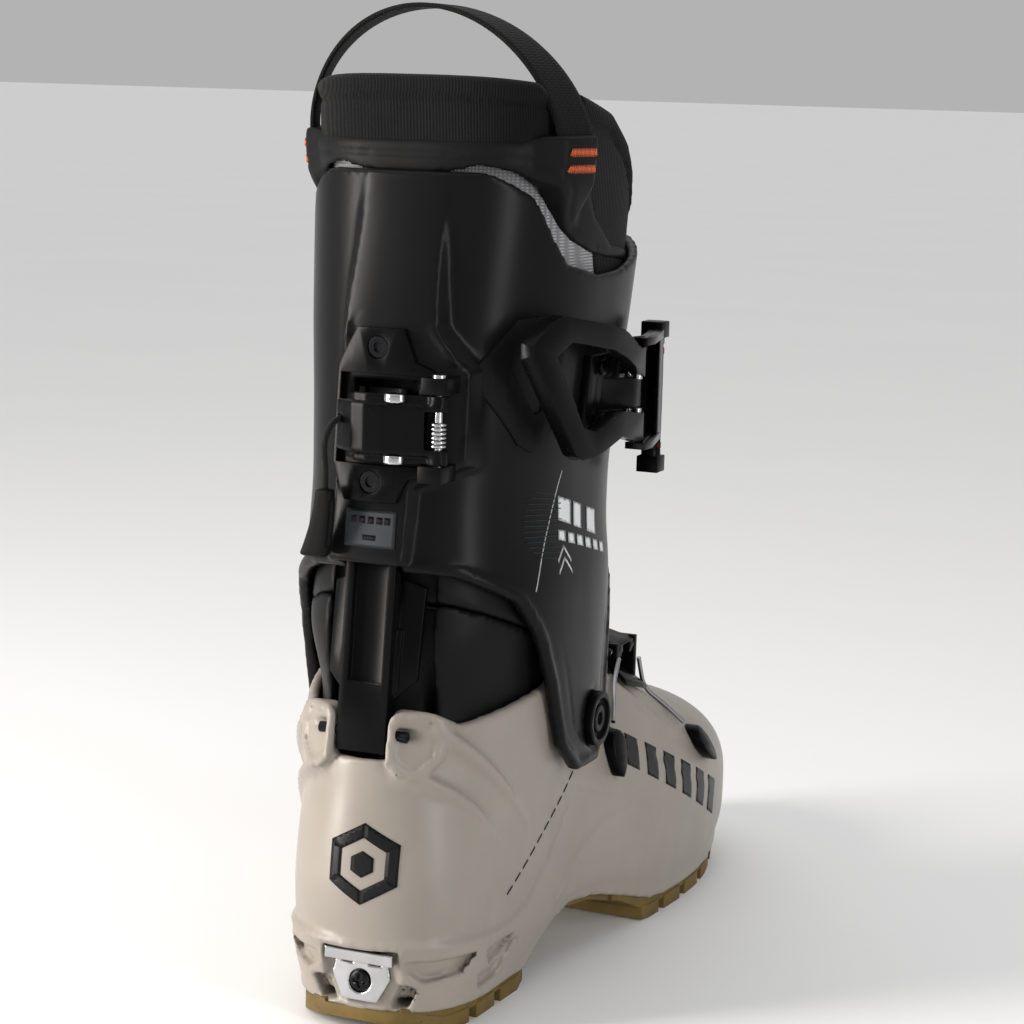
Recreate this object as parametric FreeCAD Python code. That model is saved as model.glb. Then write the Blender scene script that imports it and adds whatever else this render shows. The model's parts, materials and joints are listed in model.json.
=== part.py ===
"""Alpine touring boot, right foot, as an assembly of separate solids, in millimetres.

Frame: X to the lateral (outer) side, Y towards the toe, Z up. The origin is on the ground, in the
middle of the heel sole. The boot is a 26.5 size: about 297 mm from the heel to the toe of the shell.
Two lofted bodies carry every shape: the leg (horizontal sections) and the foot (upright sections).
Each moulded part is a shell between two offsets of them, trimmed by a profile seen from the side.
"""
import FreeCAD, Part
import math
import os

V = FreeCAD.Vector
PARTS = "parts"

# ---------------------------------------------------------------- driving dimensions
HEEL_Y, TOE_Y = -40.0, 257.0          # ends of the shell along the foot
PIVOT_Y, PIVOT_Z = 58.0, 96.0         # the ankle pivot, across the boot
SHELL_T, CUFF_T = 4.0, 3.5            # wall thicknesses
ANKLE_GAP = 1.3                       # between the lower shell and the inside of the cuff
LINER_OUT, LINER_IN = 5.2, 10.5       # liner surfaces, inwards from the leg surface
BAR_HALF = 9.2                        # half width of the rear link bar
BAR_Y, BAR_Z = -31.5, 104.5           # its pivot on the lower shell
BAR_LEAN = 5.7                        # degrees that it leans forward, like the back of the leg
PLATE_LOW, PLATE_TOP = 184.0, 242.0   # ends of the lock plate
LATCH_LOW, LATCH_TOP = 196.0, 227.0   # the lever between its two hinge ears
HINGE_X, LOCK_Y = 24.0, -28.6         # hinge of the ski and walk lever, beside the bar
PIN_R = 1.9                           # pin of the link bar
HEEL_X, HEEL_SCREW_Z = 4.0, 19.0      # heel fitting and its screw
TOE_INSERT_X, TOE_INSERT_Z = -6.0, 25.0
BUCKLE_A = (54.5, 68.0)               # lever pivot of the cuff buckle, seen from above
BUCKLE_B = (61.0, 60.0)               # link pivot on that lever
BAR_XY = (55.0, 92.0)                 # strap bar, seen from above
LOOP_HALF, LOOP_X = 50.5, 1.2         # half width of the pull loop and its middle at the liner
LOOP_Y, LOOP_Z = 20.0, 304.0          # where it leaves the liner
LOOP_WIDE, LOOP_T = 17.0, 1.6
LOOP_TOP = 350.0

# leg outside: height, half width, back, front
LEG = [
    (66, 50.0, -34.0, 108), (88, 50.0, -34.0, 112), (110, 49.5, -33.0, 113), (130, 49.2, -31.0, 114),
    (150, 48.5, -27.5, 115), (165, 46.0, -25.5, 116), (185, 45.3, -23.5, 118), (215, 47.5, -20.5, 121),
    (240, 50.0, -18.0, 124), (270, 52.0, -15.0, 128), (300, 53.5, -12.0, 131), (332, 56.0, -9.0, 133),
]
# ankle of the lower shell: height, half width, back, front
ANKLE = [
    (30, 34.0, -38.5, 66), (50, 38.5, -40.0, 78), (70, 42.0, -39.0, 92),
    (96, 44.8, -36.5, 99), (112, 44.8, -33.0, 102), (135, 44.0, -29.0, 104), (150, 43.0, -27.0, 105),
]
# foot: distance along, lateral edge, medial edge, height of the top
FOOT = [
    (0, 38.0, -33.5, 96), (30, 39.5, -36.0, 104), (60, 43.5, -39.5, 114), (90, 48.0, -42.0, 116),
    (120, 52.5, -45.0, 106), (150, 55.5, -48.0, 93), (175, 55.5, -50.0, 83), (200, 53.0, -50.5, 77),
    (230, 50.0, -50.0, 72), (257, 47.0, -50.0, 66),
]
# underside of the shell and ground line of the rubber along the foot
SHELL_BOTTOM = [
    (-40, 9.5), (26, 9.5), (44, 19), (60, 24), (80, 22), (104, 15), (125, 8.5), (148, 7.2), (185, 7.5),
    (205, 10.5), (225, 15), (257, 27),
]
TREAD = [
    (-40, 5), (-24, 0), (26, 0), (44, 12), (60, 17), (80, 15), (104, 8), (119, 1), (125, 0), (190, 0),
    (225, 6), (257, 18),
]
WIDEST = 38.0                         # height of the widest line of the foot
HEEL_END, TOE_START = 0.0, 183.0      # where the plan starts to close at each end
LEG_N, HEEL_N, PLAN_N, RISE_N, FLAT_N = 2.4, 1.85, 2.3, 2.3, 5.0


def table(rows, x):
    """Straight interpolation in a table whose first column rises."""
    if x <= rows[0][0]:
        return rows[0][1:]
    for a, b in zip(rows, rows[1:]):
        if x <= b[0]:
            t = (x - a[0]) / (b[0] - a[0])
            return tuple(p + (q - p) * t for p, q in zip(a[1:], b[1:]))
    return rows[-1][1:]


def closed_spline(points):
    curve = Part.BSplineCurve()
    curve.interpolate(points, PeriodicFlag=True)
    return Part.Wire([curve.toShape()])


def ring_section(half, back, front, z, grow, back_n, count=28):
    """Closed horizontal section of a leg, grown outwards by grow; back_n rounds its rear half."""
    a, b, mid = half + grow, (front - back) / 2 + grow, (front + back) / 2
    points = []
    for k in range(count):
        t = 2 * math.pi * (k + 0.5) / count
        c, s = math.cos(t), math.sin(t)
        n = LEG_N if s > 0 else back_n
        x = a * math.copysign(abs(c) ** (2 / n), c)
        y = mid + b * math.copysign(abs(s) ** (2 / n), s)
        points.append(V(x, y, z))
    return closed_spline(points)


def leg_body(rows, grow, low, high):
    heights = [low] + [r[0] for r in rows if low + 3 < r[0] < high - 3] + [high]
    wires = []
    for z in heights:
        half, back, front = table(rows, z)
        wires.append(ring_section(half, back, front, z, grow, HEEL_N if rows is ANKLE else LEG_N))
    return Part.makeLoft(wires, True, True)


def foot_section(y, grow, count=36):
    """Closed upright section of the foot body at y, grown outwards by grow."""
    lateral, medial, top = table(FOOT, y)
    low = table(SHELL_BOTTOM, y)[0]
    mid, half = (lateral + medial) / 2, (lateral - medial) / 2 + grow
    rise, drop = top - WIDEST + grow, WIDEST - low + grow
    share = 0.0
    if y > TOE_START:
        share = ((y - TOE_START) / (TOE_Y + grow - TOE_START)) ** PLAN_N
    if y < HEEL_END:
        share = ((HEEL_END - y) / (HEEL_END - HEEL_Y + grow)) ** PLAN_N
    points = []
    for k in range(count):
        t = 2 * math.pi * (k + 0.5) / count
        c, s = math.cos(t), math.sin(t)
        n = RISE_N if s > 0 else FLAT_N
        height_share = abs(s) ** (2 / n)
        room = (1 - height_share ** n) ** (1 / n)
        floor = share ** (1 / PLAN_N)
        reach = floor + (1 - floor) * abs(c) ** (2 / n)
        height_share = (1 - min(reach, 1.0) ** n) ** (1 / n)
        wide = max(reach ** PLAN_N - share, 0.0) ** (1 / PLAN_N)
        if share == 0.0:
            wide, height_share = room, abs(s) ** (2 / n)
        points.append(V(mid + half * math.copysign(wide, c), y,
                        WIDEST + (rise if s > 0 else -drop) * height_share))
    return closed_spline(points)


def foot_body(grow):
    """The whole foot as one loft from heel to toe."""
    start, end = HEEL_Y - grow, TOE_Y + grow
    stations = [start + 0.6, start + 3, start + 9, start + 20, HEEL_END, 26, 44, 60, 80, 104, 125, 150, 175]
    stations += [TOE_START + 12, end - 42, end - 26, end - 13, end - 5, end - 1.2]
    return Part.makeLoft([foot_section(y, grow) for y in stations], True, False)


def prism_x(points, low=-80.0, high=80.0):
    """Solid between two X planes whose outline, seen from the side, is (y, z) points."""
    wire = Part.makePolygon([V(low, y, z) for y, z in points + points[:1]])
    return Part.Face(wire).extrude(V(high - low, 0, 0))


def prism_y(points, low, high):
    """Solid between two Y planes whose outline, seen from behind, is (x, z) points."""
    wire = Part.makePolygon([V(x, low, z) for x, z in points + points[:1]])
    return Part.Face(wire).extrude(V(0, high - low, 0))


def prism_z(points, low, high):
    """Solid between two heights whose outline, seen from above, is (x, y) points."""
    wire = Part.makePolygon([V(x, y, low) for x, y in points + points[:1]])
    return Part.Face(wire).extrude(V(0, 0, high - low))


def box(x0, x1, y0, y1, z0, z1):
    return Part.makeBox(x1 - x0, y1 - y0, z1 - z0, V(x0, y0, z0))


def cylinder_x(radius, x0, x1, y, z):
    return Part.makeCylinder(radius, x1 - x0, V(x0, y, z), V(1, 0, 0))


def cross_pin(radius, side, x0, x1):
    """Cylinder on the ankle pivot's axis, from x0 to x1 on one side of the boot."""
    return cylinder_x(radius, min(side * x0, side * x1), max(side * x0, side * x1), PIVOT_Y, PIVOT_Z)


def cylinder_y(radius, x, y0, y1, z):
    return Part.makeCylinder(radius, y1 - y0, V(x, y0, z), V(0, 1, 0))


def cylinder_z(radius, x, y, z0, z1):
    return Part.makeCylinder(radius, z1 - z0, V(x, y, z0), V(0, 0, 1))


def arc_radii(points, bend=0.45):
    """Radius of the tangent arc at each corner of a tube's route, as large as its two runs allow."""
    points = [V(*p) for p in points]
    radii = []
    for before, corner, after in zip(points, points[1:], points[2:]):
        a, b = before - corner, after - corner
        radii.append(bend * min(a.Length, b.Length) * math.tan(a.getAngle(b) / 2))
    return radii


def tube(points, radius, bend=0.45):
    """Round cord along runs joined by tangent arcs as large as the runs allow."""
    points = [V(*p) for p in points]
    edges, at = [], points[0]
    for before, corner, after in zip(points, points[1:], points[2:]):
        a, b = before - corner, after - corner
        reach = bend * min(a.Length, b.Length)
        half = a.getAngle(b) / 2
        a.normalize()
        b.normalize()
        start, end = corner + a * reach, corner + b * reach
        middle = a + b
        middle.normalize()
        apex = corner + middle * (reach / math.cos(half) - reach * math.tan(half))
        edges += [Part.LineSegment(at, start).toShape(), Part.Arc(start, apex, end).toShape()]
        at = end
    edges.append(Part.LineSegment(at, points[-1]).toShape())
    path = Part.Wire(edges)
    profile = Part.Wire([Part.makeCircle(radius, points[0], points[1] - points[0])])
    made = path.makePipeShell([profile], True, False)
    ratio = made.Volume / (math.pi * radius ** 2 * path.Length)
    print("tube volume over section times length:", round(ratio, 3))
    return made


def on_leg(y, z, grow=0.0, rows=LEG):
    """Distance from the middle to the leg surface at y and z."""
    half, back, front = table(rows, z)
    a, b, mid = half + grow, (front - back) / 2 + grow, (front + back) / 2
    return a * max(1 - abs((y - mid) / b) ** LEG_N, 0.0) ** (1 / LEG_N)


def save(name, shape):
    solids = shape.Solids
    out = solids[0] if len(solids) == 1 else Part.makeCompound(solids)
    if not solids or not out.isValid():
        print("PROBLEM", name, len(solids), out.isValid())
    out.exportStep(os.path.join(PARTS, name + ".step"))


# ---------------------------------------------------------------- lower shell
def lower_rim():
    """What the lower shell keeps, seen from the side: bracket, dip, ankle, throat and toe."""
    return [(-60, 0), (-60, 113), (-26, 113), (-14, 106.7), (27, 114.5), (48, 124), (84, 127),
            (104, 119), (124, 104), (150, 125), (280, 125), (280, 0)]


def bar_slot(side, low, front):
    """Space that the foot of the link bar moves in, between the two rear brackets."""
    return box(-side, side, -60, front, low, 140)


def lower_shell():
    outside = foot_body(0).fuse(leg_body(ANKLE, 0, 30, 150))
    inside = foot_body(-SHELL_T).fuse(leg_body(ANKLE, -SHELL_T, 34, 151))
    shell = outside.cut(inside).common(prism_x(lower_rim()))
    ear = prism_x([(-33, 84), (-39, 91), (-39, 107), (-35, 113), (-18, 113), (-18, 84)], BAR_HALF + 0.6, 20)
    ears = ear.fuse(ear.mirror(V(0, 0, 0), V(1, 0, 0)))
    shell = shell.fuse(ears.cut(leg_body(ANKLE, -SHELL_T, 34, 151)))
    shell = shell.cut(bar_slot(BAR_HALF + 0.6, 97, -12))
    throat = box(-19, 19, 20, 122, 88, 140).common(prism_x([(64, 140), (80, 104), (122, 88), (122, 140)]))
    shell = shell.cut(throat)
    for side in (-1, 1):
        shell = shell.cut(cross_pin(4.05, side, 32, 56)).cut(cross_pin(8.0, side, 30, 38.3))
    shell = shell.cut(cylinder_x(PIN_R + 0.05, -22, 22, BAR_Y, BAR_Z))
    seat = box(HEEL_X - 13.5, HEEL_X + 13.5, -42, -36.8, 11.5, 31)
    shell = shell.cut(seat).cut(cylinder_y(1.6, HEEL_X, -42, -20, HEEL_SCREW_Z))
    return shell.cut(box(TOE_INSERT_X - 10, TOE_INSERT_X + 10, 246, 262, 18, 34))


def bar_pin():
    """Pin of the link bar, through both brackets."""
    return cylinder_x(PIN_R, -16.5, 16.5, BAR_Y, BAR_Z)


# ---------------------------------------------------------------- sole
def sole_outline(low, high, grow=0.0):
    """Plan of the sole between two places along the foot, as (x, y) points."""
    lateral, medial = [], []
    steps = 22
    for k in range(steps + 1):
        y = low + (high - low) * k / steps
        out, inner, _ = table(FOOT, y)
        mid, half = (out + inner) / 2, (out - inner) / 2 - 4.5 + grow
        share = 0.0
        if y > TOE_START:
            share = min((y - TOE_START) / (TOE_Y - 3 - TOE_START), 1.0)
        if y < HEEL_END:
            share = min((HEEL_END - y) / (HEEL_END - HEEL_Y), 1.0)
        half *= max(1 - share ** PLAN_N, 0.003) ** (1 / PLAN_N)
        lateral.append((mid + half, y))
        medial.append((mid - half, y))
    return lateral + medial[::-1]


def tread_slab(low, high, thick_low, thick_high):
    """Rubber between the ground line plus thick_low and the shell plus thick_high, seen from the side."""
    stops = [low] + [row[0] for row in TREAD if low < row[0] < high] + [high]
    under = [(y, table(TREAD, y)[0] + thick_low) for y in stops]
    over = [(y, table(SHELL_BOTTOM, y)[0] + thick_high) for y in reversed(stops)]
    return prism_x(under + over)


def lugs(low, high, depth, cuts):
    """The tread band of the sole, cut by cross grooves into lugs."""
    band = prism_z(sole_outline(low, high, 0.4), -5, 60)
    stops = [low] + [row[0] for row in TREAD if low < row[0] < high] + [high]
    under = [(y, table(TREAD, y)[0]) for y in stops]
    over = [(y, table(TREAD, y)[0] + depth) for y in reversed(stops)]
    block = band.common(prism_x(under + over))
    for y, wide, x0, x1 in cuts:
        block = block.cut(box(x0, x1, y - wide / 2, y + wide / 2, -6, 60))
    return block


HEEL_CUTS = [(-27, 5, -14, 14), (-9, 5, 10, 60), (-9, 5, -60, -10), (10, 5, 8, 60), (10, 5, -60, -8)]
FORE_CUTS = [(107, 25, -70, 70), (137, 5, 12, 70), (137, 5, -70, -12), (158, 6, 12, 70), (158, 6, -70, -12),
             (180, 6, 12, 70), (180, 6, -70, -12), (201, 5, 14, 70), (201, 5, -70, -14), (219, 5, 10, 70),
             (219, 5, -70, -14), (148, 5, -12, 12), (170, 5, -12, 12), (236, 4, -60, 60)]
CENTRE_GROOVE = 5.0


def rubber(low, high, depth, cuts, groove):
    base = prism_z(sole_outline(low, high), -5, 60).common(tread_slab(low, high, depth - 1, 0.4))
    base = base.cut(foot_body(0.05))
    tread = lugs(low, high, depth, cuts)
    for y0, y1 in groove:
        for x in (-15, 15):
            tread = tread.cut(box(x - CENTRE_GROOVE / 2, x + CENTRE_GROOVE / 2, y0, y1, -6, 60))
    return base.fuse(tread)


def heel_sole():
    sole = rubber(HEEL_Y + 1.5, 30, 5.5, HEEL_CUTS, [(-22, 24)])
    return sole.cut(box(HEEL_X - 13.8, HEEL_X + 13.8, -42, -31, 9, 14))


def forefoot_sole():
    sole = rubber(96, TOE_Y - 5, 5.5, FORE_CUTS, [(119, 228)])
    return sole.cut(box(TOE_INSERT_X - 10.3, TOE_INSERT_X + 10.3, 240, 262, 14, 34))


def arch_strip():
    """Thin rubber strip under the arch, between the two soles."""
    y0, y1 = 30.3, 95.7
    stops = [y0, 44, 60, 80, y1]
    over = [(y, table(SHELL_BOTTOM, y)[0] + 0.4) for y in stops]
    under = [(y, z - 3.2) for y, z in reversed(over)]
    return prism_z(sole_outline(y0, y1, -1), -5, 60).common(prism_x(over + under)).cut(foot_body(0.05))


# ---------------------------------------------------------------- steel binding inserts
def heel_insert():
    """Heel fitting: slotted top plate, bevelled body and the seat of its screw."""
    half = [(13, 30.2), (13, 27.0), (9.5, 26.2), (11, 20.5), (7.5, 12.0)]
    outline = [(HEEL_X + x, z) for x, z in half] + [(HEEL_X - x, z) for x, z in reversed(half)]
    body = prism_y(outline, -41.0, -36.9)
    body = body.cut(prism_y([(HEEL_X - 11.5, 26.0), (HEEL_X + 11.5, 26.0), (HEEL_X + 12.5, 11),
                             (HEEL_X - 12.5, 11)],
                            -42, -39.6))
    body = body.cut(cylinder_y(3.9, HEEL_X, -42, -38.4, HEEL_SCREW_Z))
    body = body.cut(cylinder_y(1.65, HEEL_X, -42, -30, HEEL_SCREW_Z))
    for side in (-1, 1):
        x = HEEL_X + side * 5.2
        body = body.cut(box(x - 1.7, x + 1.7, -42, -36, 23.2, 27.6))
    return body


def heel_insert_screw():
    z = HEEL_SCREW_Z
    head = cylinder_y(3.7, HEEL_X, -40.1, -38.5, z)
    cross = box(HEEL_X - 2.4, HEEL_X + 2.4, -41, -39.1, z - 0.45, z + 0.45)
    cross = cross.fuse(box(HEEL_X - 0.45, HEEL_X + 0.45, -41, -39.1, z - 2.4, z + 2.4))
    return head.cut(cross).fuse(cylinder_y(1.5, HEEL_X, -38.6, -36.1, z))


def toe_insert():
    """Toe fitting: a steel bar across the toe with a conical pin socket in each end."""
    x0, x1 = TOE_INSERT_X - 9.8, TOE_INSERT_X + 9.8
    bar = box(x0, x1, 246.4, 255.5, 18.4, 33)
    for x, way in ((x0, 1), (x1, -1)):
        cone = Part.makeCone(3.2, 0.8, 4.5, V(x - 0.01 * way, 251.5, TOE_INSERT_Z), V(way, 0, 0))
        bar = bar.cut(cone)
    return bar


# ---------------------------------------------------------------- inside the lower shell
def boot_board():
    body = foot_body(-SHELL_T - 0.2)
    keep = prism_x([(-34, 8), (30, 8), (60, 8), (240, 8), (240, 24), (225, 24), (190, 19), (110, 20),
                    (80, 31), (60, 33), (44, 30), (20, 26), (-34, 26)])
    return body.common(keep)


FOOT_LINER_OUT, FOOT_LINER_IN = 4.6, 10.2


LINER_SEAM_Y = 54


def liner_foot():
    """(heel part, forefoot part) of the liner's soft bootie, sewn together, standing on the boot board."""
    outside = foot_body(-FOOT_LINER_OUT).fuse(leg_body(ANKLE, -FOOT_LINER_OUT, 40, 150))
    inside = foot_body(-FOOT_LINER_IN).fuse(leg_body(ANKLE, -FOOT_LINER_IN, 46, 151))
    keep = prism_x([(-60, 26.4), (-60, 96), (-26, 96), (-8, 103), (30, 111), (84, 111), (98, 108),
                    (112, 98), (150, 125), (280, 125), (280, 24.4), (225, 24.4), (190, 19.4),
                    (110, 20.4), (80, 31.4), (60, 33.4), (44, 30.4), (20, 26.4)])
    liner = outside.cut(inside).common(keep).cut(bar_slot(BAR_HALF + 2, 90, -26.2))
    liner = liner.cut(box(TOE_INSERT_X - 10.4, TOE_INSERT_X + 10.4, 246, 262, 17.6, 33.4))
    for side in (-1, 1):
        liner = liner.cut(cross_pin(8.3, side, 35, 46))
    throat = box(-19, 19, 20, 130, 88, 140).common(
        prism_x([(62, 140), (78, 102), (122, 86), (130, 86), (130, 140)]))
    liner = liner.cut(throat)
    heel_end = box(-70, 70, -50, LINER_SEAM_Y, 0, 160)
    return liner.common(heel_end), liner.cut(heel_end)


def footbed():
    """Insole on the floor of the liner."""
    body = foot_body(-FOOT_LINER_IN - 0.4)
    keep = prism_x([(-28, 28), (20, 28), (44, 34), (60, 36.5), (80, 34.5), (110, 24), (190, 22.5),
                    (232, 27), (232, 32), (190, 27), (110, 28.5), (80, 39), (60, 41), (44, 38.5),
                    (20, 33.5), (-28, 33.5)])
    return body.common(keep).common(foot_body(-FOOT_LINER_IN - 0.4))


# ---------------------------------------------------------------- ankle pivots
def pivot(side):
    """(cap screw with its rim, bush in the shell) of one ankle pivot."""
    bush = cross_pin(7.8, side, 36.0, 38.2).fuse(cross_pin(4.0, side, 38.0, 44.5))
    bush = bush.cut(cross_pin(2.55, side, 34, 46))
    cap = cross_pin(10.0, side, 48.3, 52.2).cut(cross_pin(7.6, side, 50.6, 53))
    cap = cap.fuse(cross_pin(5.0, side, 49.8, 51.6))
    cap = cap.cut(cross_pin(2.3, side, 50.4, 53)).fuse(cross_pin(2.5, side, 36.5, 50))
    return cap, bush


# ---------------------------------------------------------------- cuff
CUFF_LOW = [(130, 164), (118, 160), (99, 150), (85, 124), (78, 100), (73, 86), (62, 79.5), (40, 80.5),
            (26, 92), (19, 114), (11, 134), (1, 148), (-18, 158.5), (-45, 163)]
CUFF_TOP = [(-45, 294), (-4, 294), (8, 286), (16, 272), (23.5, 263), (45, 258.5), (64, 259), (90, 263),
            (114, 269), (150, 274), (150, 164)]
BOSS = [(-14.5, 163), (-16.5, 250), (-12, 257), (12, 258), (17, 250), (17, 243), (28, 229), (28, 196),
        (20.5, 191.5), (20.5, 166), (14.5, 163)]
BOSS_OUT, TUNNEL_OUT = 5.2, 3.5
SLIT_X = -14.0
RIVET_Y, RIVET_Z = 46.0, (206.0, 226.0)     # rivets of the buckle base
ANCHOR_Y, ANCHOR_Z = 58.0, (200.0, 220.0)   # screws of the strap anchor


def cuff_shell():
    body = leg_body(LEG, 0, 70, 300).cut(leg_body(LEG, -CUFF_T, 66.5, 304))
    body = body.common(prism_x(CUFF_TOP + CUFF_LOW))
    boss = prism_y(BOSS, -50, -6).common(leg_body(LEG, BOSS_OUT, 150, 270))
    boss = boss.cut(leg_body(LEG, -CUFF_T, 140, 280))
    body = body.fuse(boss)
    tunnel = box(-BAR_HALF - 0.7, BAR_HALF + 0.7, -40, 10, 150, 246)
    body = body.cut(tunnel.common(leg_body(LEG, TUNNEL_OUT, 140, 290)))
    body = body.cut(box(-9.5, 14, -50, -8, 201, 224))
    for z in (235.5, 190.5):
        body = body.cut(cylinder_y(2.05, 0, -50, back_y(z, TUNNEL_OUT) + 0.2, z))
    body = body.cut(box(SLIT_X - 2, SLIT_X + 2, 90, 150, 60, 310))
    for side in (-1, 1):
        body = body.cut(cross_pin(10.4, side, 48.2, 56)).cut(cross_pin(2.55, side, 34, 56))
    for z in RIVET_Z:
        body = body.cut(cylinder_x(1.55, 30, 70, RIVET_Y, z))
    for z in ANCHOR_Z:
        body = body.cut(cylinder_x(2.05, -70, -30, ANCHOR_Y, z))
    return body.cut(badge_pocket())


def back_y(z, grow):
    return table(LEG, z)[1] - grow


def badge_pocket():
    return prism_y([(-9.5, 168), (9.5, 168), (9.5, 181), (-9.5, 181)], -50, back_y(174, BOSS_OUT - 0.8))


def badge():
    outline = [(-9.3, 168.2), (9.3, 168.2), (9.3, 180.8), (-9.3, 180.8)]
    pocket = prism_y(outline, -50, back_y(174, BOSS_OUT - 0.8) - 0.05)
    return pocket.common(leg_body(LEG, BOSS_OUT, 150, 270))


# ---------------------------------------------------------------- ski and walk lock
PLATE_OUTLINE = [(-8, PLATE_TOP), (9, PLATE_TOP), (13.5, 231), (19.5, 228.5), (19.5, 194), (13, 192),
                 (9.5, PLATE_LOW), (-9.5, PLATE_LOW), (-15, 196), (-15, 229)]
PLATE_T = 2.6


def lock_plate():
    """Six-sided plate on the rear boss, with its window and hinge ears."""
    outer = leg_body(LEG, BOSS_OUT + 0.05 + PLATE_T, 176, 250)
    inner = leg_body(LEG, BOSS_OUT + 0.05, 170, 256)
    plate = prism_y(PLATE_OUTLINE, -50, -8).common(outer.cut(inner))
    plate = plate.cut(box(-13.5, 18, -50, -8, LATCH_LOW + 0.4, LATCH_TOP - 0.4))
    ears = box(18.5, 27, -31, -17, LATCH_TOP - 5.6, LATCH_TOP)
    ears = ears.fuse(box(18.5, 27, -32.5, -18, LATCH_LOW - 4, LATCH_LOW + 1.6))
    ears = ears.cut(inner)
    plate = plate.fuse(ears)
    for z in (235.5, 190.5):
        plate = plate.cut(cylinder_y(2.05, 0, -60, -8, z))
        plate = plate.cut(cylinder_y(3.9, 0, -60, back_y(z, BOSS_OUT + 1.2), z))
    return plate.cut(cylinder_z(1.55, HINGE_X, LOCK_Y, 180, 240))


def plate_screw(z):
    head = cylinder_y(3.7, 0, back_y(z, BOSS_OUT + PLATE_T - 0.3), back_y(z, BOSS_OUT + 1.3), z)
    socket = cylinder_y(1.8, 0, -60, back_y(z, BOSS_OUT + PLATE_T - 1.2), z)
    shank = cylinder_y(1.95, 0, back_y(z, BOSS_OUT + 1.4), back_y(z, TUNNEL_OUT + 0.6), z)
    return head.cut(socket).fuse(shank)


def lock_lever():
    """Lever of the ski and walk lock: barrel, arched body and the eye of its cord."""
    z0, z1 = LATCH_LOW + 2, LATCH_TOP - 6
    barrel = cylinder_z(3.4, HINGE_X, LOCK_Y, z0, z0 + 5).fuse(cylinder_z(3.4, HINGE_X, LOCK_Y, z1 - 5, z1))
    outline = [(HINGE_X, LOCK_Y + 2.6), (HINGE_X, LOCK_Y - 2.8), (14, -34.0), (4, -35.4), (-4, -35.0),
               (-9, -33.2),
               (-12.6, -30.8), (-12.6, -28.2), (-6, -31.2), (4, -32.0), (12, -30.2), (17.4, LOCK_Y - 0.4)]
    body = prism_z(outline, z0, z1)
    body = body.cut(cylinder_z(3.0, HINGE_X, LOCK_Y, z0 + 5, z1 - 5)).fuse(barrel)
    body = body.cut(box(HINGE_X - 3.6, HINGE_X + 6, -40, -20, z0 + 5, z1 - 5))
    cord_hole = cylinder_y(CORD_R + 0.05, CORD_POINTS[0][0], -40, -24, 211.5)
    return body.cut(cylinder_z(1.55, HINGE_X, LOCK_Y, 180, 240)).cut(cord_hole)


def lock_tooth():
    """Steel teeth under the lever, which face the link bar."""
    jaws = [box(7, 12, -31.6, -25.2, z, z + 3.4) for z in (203.4, 214.6)]
    return jaws[0].fuse(jaws[1]).cut(lock_lever())


def hinge_pin():
    return cylinder_z(1.5, HINGE_X, LOCK_Y, LATCH_LOW - 4, LATCH_TOP).fuse(
        cylinder_z(2.3, HINGE_X, LOCK_Y, LATCH_TOP + 0.05, LATCH_TOP + 1.2))


def hinge_spring():
    """Return spring on the hinge pin: five turns of wire."""
    low, turns, pitch = LATCH_LOW + 8.4, 6, 1.45
    rings = [Part.makeTorus(2.35, 0.55, V(HINGE_X, LOCK_Y, low + k * pitch)) for k in range(turns)]
    return Part.makeCompound(rings)


# ---------------------------------------------------------------- rear link bar
def link_bar():
    """Channel bar, open to the rear, with a solid foot and side wings that hug the ankle."""
    rear, front = -33.9, -29.3
    bar = box(-BAR_HALF, BAR_HALF, rear, front, 98, 222).fuse(box(-BAR_HALF, BAR_HALF, rear, -28, 98, 156))
    bar = bar.cut(prism_x([(rear - 1, 124), (rear - 1, 230), (front - 1.6, 230),
                           (front - 1.6, 117)], -6.4, 6.4))
    bar.rotate(V(0, BAR_Y, BAR_Z), V(1, 0, 0), -BAR_LEAN)
    wings = leg_body(LEG, -3.9, 112, 160).cut(leg_body(LEG, -5.4, 108, 164))
    wing = prism_y([(9, 157), (17, 154), (16.5, 123), (9, 116)], -60, 0)
    wings = wings.common(wing.fuse(wing.mirror(V(0, 0, 0), V(1, 0, 0))))
    fill = prism_y([(7, 156), (11, 155), (11, 119), (7, 116)], -60, 0)
    hug = leg_body(LEG, -2.4, 112, 140).cut(leg_body(LEG, -5.3, 108, 144))
    bar = bar.fuse(wings).fuse(hug.common(fill.fuse(fill.mirror(V(0, 0, 0), V(1, 0, 0)))))
    return bar.removeSplitter().cut(cylinder_x(PIN_R + 0.05, -20, 20, BAR_Y, BAR_Z))


# ---------------------------------------------------------------- cuff buckle
LEVER_LINE = [(BUCKLE_A[0] + 1.5, BUCKLE_A[1] + 3), (BUCKLE_B[0], BUCKLE_B[1]), (62.0, 40.0), (60.5, 26.0),
              (55.5, 4.0), (49.5, -16.0)]
LEVER_T = 5.0
LEVER_FACE = [(72, 233), (56, 232.5), (36, 241), (24, 243.5), (0, 247.5), (-7, 245.5), (-16, 238.5),
              (-16.5, 235), (8, 199.5), (12, 197.5), (20, 198), (38, 203), (56, 199), (72, 199)]
LEVER_HOLE = [(80, 222.5), (60, 222), (44, 229), (30, 234), (4, 238.5), (-4, 234), (12, 208.5), (20, 206.5),
              (38, 212), (58, 209), (80, 209)]


def offset_line(points, grow):
    """Open line moved sideways by grow, as seen from above."""
    moved = []
    for k, (x, y) in enumerate(points):
        a = points[max(k - 1, 0)]
        b = points[min(k + 1, len(points) - 1)]
        dx, dy = b[0] - a[0], b[1] - a[1]
        size = math.hypot(dx, dy)
        moved.append((x - dy / size * grow, y + dx / size * grow))
    return moved


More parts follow.
